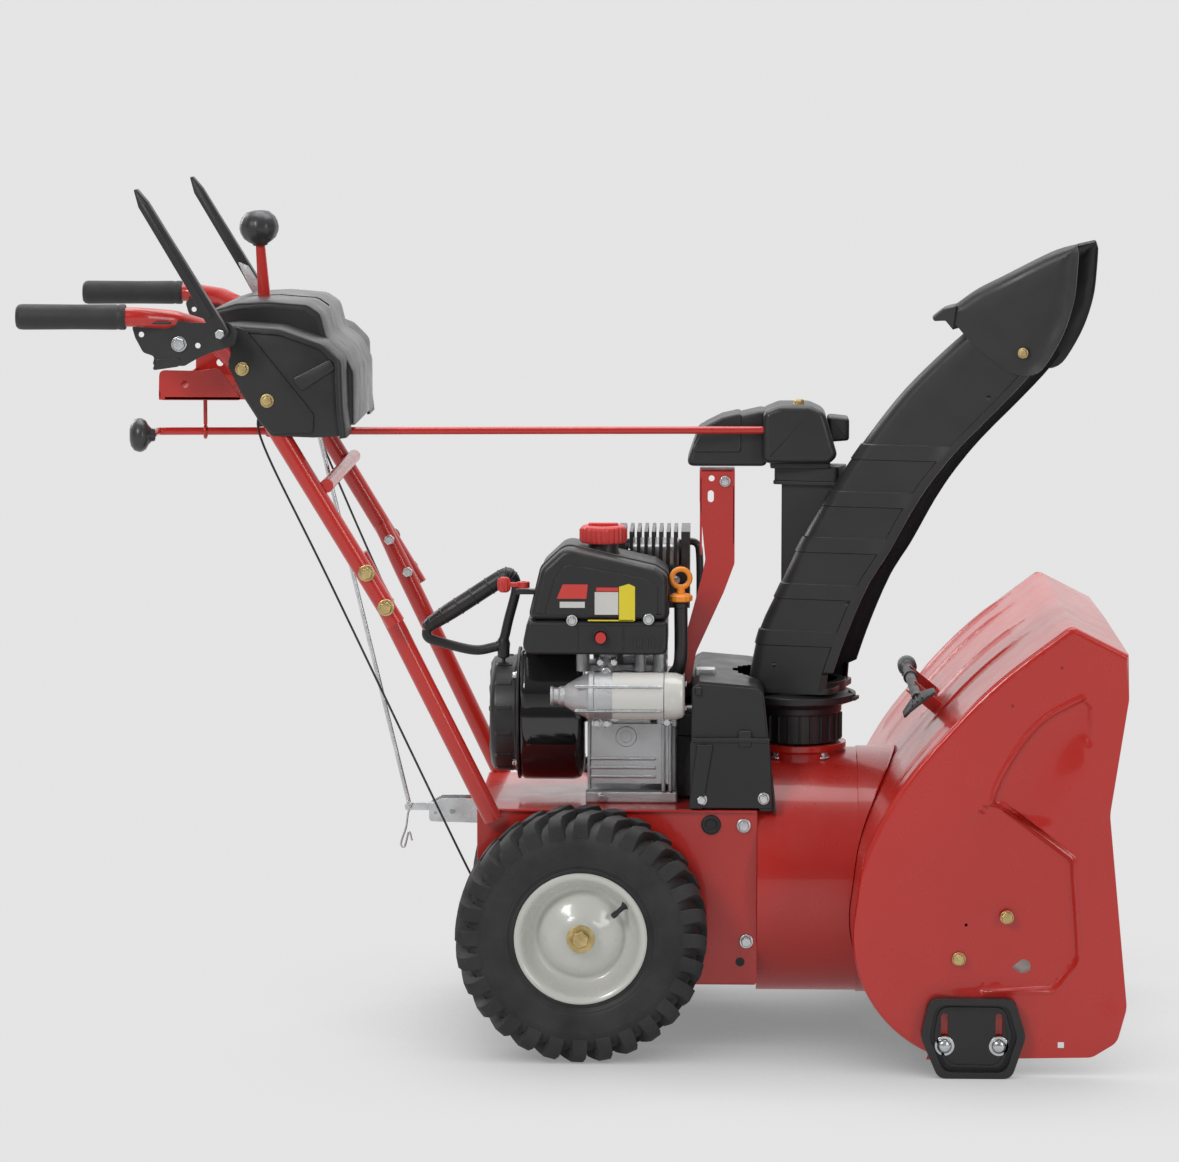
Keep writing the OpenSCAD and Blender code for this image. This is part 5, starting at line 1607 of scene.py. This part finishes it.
def make_lever_brackets(mats):
    bm = bmesh.new()
    outline = [(-563, 969), (-512, 970), (-493, 967), (-466, 967), (-446, 967), (-436, 955), (-440, 938),
               (-471, 929),
               (-487, 922), (-504, 912), (-546, 912), (-542, 924), (-557, 929), (-567, 948), (-571, 962)]
    outline = fillet(outline, [6, 4, 4, 4, 8, 8, 8, 4, 6, 6, 8, 5, 8, 6, 6], 4)
    plate(bm, outline, [circle(-559, 952, 3.6, 16), circle(-487, 938, 3.6, 16)], 278, 281)
    pillow(bm, fillet([(-566, 276), (-520, 276), (-520, 296), (-566, 296)], 4), 966, 969, 1, "xy", 2)
    rod(bm, (-456, 270, 954), (-456, 306, 954), 5)
    rod(bm, (-512, 243, 938), (-512, 282, 938), 6)
    pillow(bm, fillet([(-546, 906), (-512, 911), (-508, 922), (-540, 921)], 3), 277, 282, 1, steps=2)
    mirrored(bm)
    piece("lever_plates", bm, mats["black_paint"], "machine", ("lever_brackets",), bevel=0.7,
          limit=40)
    bolts = bmesh.new()
    hex_bolt(bolts, (-456, 305.4, 954), (0, 1, 0), 11, 4)
    hex_bolt(bolts, (-511, 281, 940), (0, 1, 0), 15, 6, washer=10)
    mirrored(bolts)
    piece("lever_plate_bolts", bolts, mats["zinc"], "machine", bevel=0.3)


def make_tray(mats):
    bm = bmesh.new()
    inside_y = 201.5
    floor_line = fillet([(-546, -inside_y), (-400, -inside_y), (-400, -12), (-440, -12), (-440, 12),
                         (-400, 12),
                         (-400, inside_y), (-546, inside_y)], [6, 6, 2, 4, 4, 2, 6, 6])
    sheet(bm, floor_line, [], lambda u, v, d: Vector((u, v, 866 - d)), 3)
    side = fillet([(-547, 901), (-548, 867), (-544, 862), (-440, 862), (-452, 880), (-469, 904), (-495, 900)],
                  [8, 3, 3, 3, 20, 8, 10], 4)
    for y in (-inside_y, inside_y - 3):
        plate(bm, side, [circle(-514, 883, 5, 20)], y, y + 3)
    for low, high in ((12, 16), (-16, -12)):
        pillow(bm, fillet([(-431, 798), (-407, 798), (-407, 866), (-431, 866)], [8, 8, 1, 1]), low, high, 1,
               steps=2)
    pillow(bm, fillet([(-inside_y, 862), (inside_y, 862), (inside_y, 876), (-inside_y, 876)], 3), -548, -545,
           1, "yz", 2)
    rod(bm, (-419, -16, 810), (-419, 16, 810), 4)
    eye = ROD_END.lerp(ROD_START, (-492 - ROD_END.x) / (ROD_START.x - ROD_END.x))
    ring_at(bm, eye, (1, 0, 0), 8.2, 2.2, 28)
    rod(bm, eye + Vector((0, 0, 9.6)), (eye.x, eye.y, 864), 2.6, 12)
    piece("tray_steel", bm, mats["red"], "machine", ("panel_bracket",), bevel=0.8, limit=40)
    wires = bmesh.new()
    sweep(wires, spline([(-420, -178, 850), (-414, -180, 800), (-330, -168, 620), (-156, -130, 240),
                         (-143, -126, 226)], 10),
          1.5, 12)
    sweep(wires, spline([(-378, 100, 850), (-372, 104, 800), (-270, 104, 560), (-160, 102, 330),
                         (-141.5, 100, 290)], 10),
          1.5, 12)
    for a, b in (((-420, -178, 850), (-417, -179, 826)), ((-378, 100, 850), (-375, 102, 826))):
        rod(wires, a, b, 4, 16)
    piece("cable_sheaths", wires, mats["cord"], "machine", ("cables",), limit=60)


# ---------------------------------------------------------------- control panel

def make_panel(mats):
    centre = fillet([(-486, 958), (-486, 976), (-452, 986), (-409, 988), (-359, 984), (-341, 972),
                     (-333, 940), (-310, 920),
                     (-298, 895), (-298, 826)], [0, 8, 10, 20, 10, 14, 14, 10, 12, 0], 5, closed=False)
    end = fillet([(-467, 940), (-467, 960), (-446, 962), (-386, 958), (-330, 938), (-308, 916), (-306, 851),
                  (-302, 816)],
                 [0, 8, 12, 30, 14, 14, 20, 0], 5, closed=False)

    def lowered(line, d):
        return parallel([Vector(p) for p in line], d)

    bm = bmesh.new()
    step_y = 150
    rear = [p for p in centre if p.x < -453]
    front = [p for p in centre if p.x > -345]
    for side in (-1, 1):
        skin(bm, [(side * 9.5, centre), (side * (step_y - 6), centre),
                  (side * (step_y - 1.5), lowered(centre, 1.5)),
                  (side * step_y, lowered(centre, 5))], 4, 56)
    skin(bm, [(-10, rear), (10, rear)], 4, 10)
    skin(bm, [(-10, front), (10, front)], 4, 30)
    piece("panel_centre", bm, mats["panel"], "machine", ("control_panel",), limit=42)
    ends = bmesh.new()
    for side in (-1, 1):
        skin(ends, [(side * 147, end), (side * 226, end), (side * 231, lowered(end, 1.6)),
                    (side * 233, lowered(end, 5))], 4, 50)
        gap = sorted((side * 146, side * 149.6))
        wall = [Vector(p) for p in centre] + [Vector((-330, 826)), Vector((-345, 900)), Vector((-380, 930)),
                                              Vector((-470, 940))]
        prism(ends, inset(wall, 2.5), gap[0], gap[1])
        web = [(-463, 938), (-463, 956), (-446, 960), (-386, 955), (-332, 935), (-311, 914), (-309, 851),
               (-306, 818),
               (-345, 816), (-399, 818), (-414, 835), (-435, 868), (-455, 909)]
        flat = sorted((side * 224, side * 229))
        pillow(ends, fillet(web, 6), flat[0], flat[1], 1.5, steps=2)
        cheek = fillet([(-445, 960), (-431, 956), (-344, 846), (-345, 822), (-399, 822), (-412, 835),
                        (-433, 868), (-453, 909),
                        (-454, 930)], [4, 4, 4, 5, 8, 12, 20, 10, 6], 4)
        flat = sorted((side * 228, side * 234))
        pillow(ends, cheek, flat[0], flat[1], 2.5, steps=3)
        strut = fillet([(-372, 892), (-360, 876), (-316, 905), (-322, 918)], 4)
        flat = sorted((side * 228, side * 232))
        pillow(ends, strut, flat[0], flat[1], 1.5, steps=2)
    piece("panel_ends", ends, mats["black"], "machine", limit=42)
    bolts = bmesh.new()
    for x, z in ((-436, 905), (-404, 864)):
        hex_bolt(bolts, (x, 234, z), (0, 1, 0), 12, 5, washer=9)
    mirrored(bolts)
    piece("panel_bolts", bolts, mats["gold"], "machine", bevel=0.4)


def make_speed_lever(mats):
    pivot = Vector((-419, 0, 810))
    tilt = math.radians(3.84)

    def up(u, w):
        return Vector((pivot.x + u * math.cos(tilt) - w * math.sin(tilt),
                       pivot.z + u * math.sin(tilt) + w * math.cos(tilt)))

    bm = bmesh.new()
    turned(bm, [(4.05, -8), (12, -8), (13, -7), (13, 7), (12, 8), (4.05, 8)], pivot, (0, 1, 0), 32,
           closed=True)
    bar_line = [up(-7, 9), up(7, 9), up(9, 150), up(6, 246), up(4, 252), up(-4, 252), up(-6, 246),
                up(-9, 150)]
    pillow(bm, bar_line, -4, 4, 1.2, steps=2)
    a = math.radians(25.4)
    arm = [Vector((pivot.x + u * math.cos(a) - w * math.sin(a), pivot.z + u * math.sin(a) + w * math.cos(a)))
           for u, w in ((9, -5), (58, -5), (61, 0), (58, 5), (9, 5))]
    pillow(bm, arm, -4, 4, 1, steps=2)
    piece("speed_lever_bar", bm, mats["red"], "speed_lever", ("shift_lever",), limit=40)
    knob = bmesh.new()
    top = up(0, 268)
    axis = Vector((-math.sin(tilt), 0, math.cos(tilt)))
    turned(knob, [(9, -24), (11, -21), (15, -19), (21, -14), (25, -6), (26, 0), (25, 7), (22, 14), (15, 21),
                  (6, 23)],
           Vector((top.x, 0, top.y)), axis, 40, wave=lambda q, r, h: 0.5 * math.cos(12 * q) if r > 20 else 0)
    piece("speed_knob", knob, mats["panel"], "speed_lever", limit=60)
    link = bmesh.new()
    sweep(link, fillet([(-369, 4, 834), (-369, 10, 834), (-366, 10, 826), (-240, 10, 294)], [0, 3, 4, 0], 4,
                       closed=False), 3, 14)
    piece("speed_link", link, mats["zinc"], "speed_rod", ("shift_rod",), limit=50)
    lever = bmesh.new()
    turned(lever, [(4.6, -8), (8.6, -8), (8.6, 8), (4.6, 8)], (-154, 0, 296), (0, 1, 0), 48, closed=True)
    outline = fillet([(-246, 291), (-160, 291), (-160, 301), (-246, 301)], [4, 1, 1, 4], 4)
    pillow(lever, outline, -6, 6, 1.4, steps=2)
    piece("speed_arm_bar", lever, mats["zinc"], "speed_arm", ("shift_arm",), bevel=0.4, limit=40)


# ---------------------------------------------------------------- clean-out tool and auger

def make_cleanout(mats):
    turn = Matrix.Translation((438, 0, 470)) @ Matrix.Rotation(math.radians(-39), 4, "Y")
    bm = bmesh.new()
    turned(bm, [(6.9, -160), (6.9, 30), (9, 31), (10, 33), (10, 37), (9, 39), (6.9, 40), (6.9, 126),
                (10, 130), (13, 134),
                (13, 158), (11, 163), (6, 165)], (0, 0, 0), (0, 1, 0), 28)
    blade = fillet([(-10, -150), (-26, -168), (-26, -206), (-18, -215), (18, -215), (26, -206), (26, -168),
                    (10, -150)],
                   [8, 8, 8, 6, 6, 8, 8, 8], 4)
    sheet(bm, blade, [], lambda u, v, d: Vector((u, v, 3 - d - 0.006 * u * u)), 3.5, spacing=9.0)
    for u in (-8, 0, 8):
        pillow(bm, fillet([(u - 1.2, -208), (u + 1.2, -208), (u + 1.2, -158), (u - 1.2, -158)], 1), 1.5, 4.6,
               0.8, "xy", 2)
    piece("cleanout_shovel", bm, mats["black"], "cleanout", ("cleanout_tool",), place=turn,
          bevel=0.6, limit=45)


def make_auger_shaft(mats):
    bm = bmesh.new()
    turned(bm, [(8, -292.5), (9.5, -291), (9.5, -9), (19, -8), (20.4, -7), (20.4, 7), (19, 8), (9.5, 9),
                (9.5, 291),
                (8, 292.5)], (AUGER_X, 0, AUGER_Z), (0, 1, 0), 36)
    # painted light: a pale sheet behind each side plate's teardrop hole stands in for the bright backdrop
    # seen through it
    hole_backdrop_sheet = bmesh.new()
    plate(hole_backdrop_sheet, fillet([(546, 124), (592, 124), (592, 164), (546, 164)], 8), [], 286, 288)
    mirrored(hole_backdrop_sheet)
    piece("teardrop_hole_painted_backdrop", hole_backdrop_sheet, mats["rim"], "machine", bevel=0.4)
    piece("auger_axle", bm, mats["steel"], "auger", ("auger_shaft",), bevel=0.4)
    bushes = bmesh.new()
    flange = [(9.9, -11), (16, -11), (16, -3), (27, -3), (28, -2), (28, 0), (9.9, 0)]
    turned(bushes, flange, (AUGER_X, 292, AUGER_Z), (0, 1, 0), 36, closed=True)
    for x, z, r, hole in ((0, TYRE_R, 16, 9.9), (40, 232, 14, 8.4)):
        ring = [(hole, -4.5), (r + 5, -4.5), (r + 5, -2), (r, -1.6), (r - 1.4, 7.4), (hole, 7.5)]
        turned(bushes, [(q, h if q <= r else min(h, -1.6)) for q, h in ring], (x, FRAME_HALF - 0.1, z),
               (0, 1, 0), 36,
               closed=True)
    mirrored(bushes)
    for x, z, r, hole in ((232, 214, 18, 9.9), (130, 232, 14, 8.4)):
        turned(bushes, [(hole, -8), (r - 1, -8), (r, -7), (r, 6), (r - 1, 7), (hole, 7)], (x, 0, z),
               (1, 0, 0), 36, closed=True)
    piece("shaft_bushes", bushes, mats["iron"], "machine", ("shaft_bearings",), bevel=0.4,
          limit=45)


def make_auger(mats):
    bm = bmesh.new()
    start_y, end_y, turns, steps = 34, 286, 0.9, 132
    for first in (0, math.pi):
        rings = []
        for k in range(steps + 1):
            share = k / steps
            y = start_y + (end_y - start_y) * share
            a = first - 2 * math.pi * turns * share
            tooth = 5 * abs((k % 6) / 3 - 1)
            ring = []
            for r, d in ((118, -2.4), (144, -2.4), (150 - tooth, -2), (150 - tooth, 2), (144, 2.4),
                         (118, 2.4)):
                ring.append(Vector((AUGER_X + r * math.cos(a), y + d, AUGER_Z + r * math.sin(a))))
            rings.append(ring)
        loft(bm, rings)
        for share in (0.12, 0.5, 0.88):
            y = start_y + (end_y - start_y) * share
            a = first - 2 * math.pi * turns * share
            out = Vector((math.cos(a), 0, math.sin(a)))
            hub = Vector((AUGER_X, y, AUGER_Z))
            sweep(bm, [hub + out * 14, hub + out * 70, hub + out * 124], [5, 4.4, 4.4], 12, flat=2.0)
    turned(bm, [(9.7, 30), (16, 30), (16, 280), (9.7, 280)], (AUGER_X, 0, AUGER_Z), (0, 1, 0), 32,
           closed=True)
    mirrored(bm)
    piece("auger_ribbons", bm, mats["black_paint"], "auger", ("auger_flights",), bevel=0.8,
          limit=40)


# ---------------------------------------------------------------- the whole machine

def dress_cad_nodes(mats):
    """Finishes for the CAD nodes that stay, with their edges softened."""
    by_slot = {"red_paint": "red", "black_plastic": "black", "gloss_black": "gloss",
               "black_paint": "black_paint",
               "panel_plastic": "panel", "red_plastic": "red_plastic", "tyre_rubber": "tyre",
               "rubber": "rubber",
               "rim_paint": "rim", "cast_aluminium": "cast", "steel": "steel", "zinc": "zinc",
               "gold_zinc": "gold",
               "cast_iron": "iron", "orange_plastic": "orange"}
    slots = {s["node"]: s["material_slot"] for s in frame["record"]["subparts"]}
    for node, obj in frame["nodes"].items():
        obj.data.materials.clear()
        obj.data.materials.append(mats[by_slot[slots[node]]])
        weld = obj.modifiers.new("weld", "WELD")
        weld.merge_threshold = 0.01 * MM
        edge = obj.modifiers.new("edges", "BEVEL")
        edge.width = 0.8 * MM
        edge.segments = 2
        edge.limit_method = "ANGLE"
        edge.angle_limit = math.radians(35)


make_camera()
make_world()
make_lights()
make_floor()
materials = make_materials()
dress_cad_nodes(materials)
make_wheels(materials)
make_housing(materials)
make_chute(materials)
make_deflector(materials)
make_chassis(materials)
make_tank(materials)
make_carburettor_cover(materials)
make_blower(materials)
make_recoil_handle(materials)
make_starter(materials)
make_block(materials)
make_engine_face(materials)
make_dipstick(materials)
make_muffler(materials)
make_belt_cover(materials)
make_bracket(materials)
make_control_head(materials)
make_crank(materials)
make_handles(materials)
make_grips(materials)
make_levers(materials)
make_lever_brackets(materials)
make_tray(materials)
make_panel(materials)
make_speed_lever(materials)
make_cleanout(materials)
make_auger(materials)
make_auger_shaft(materials)
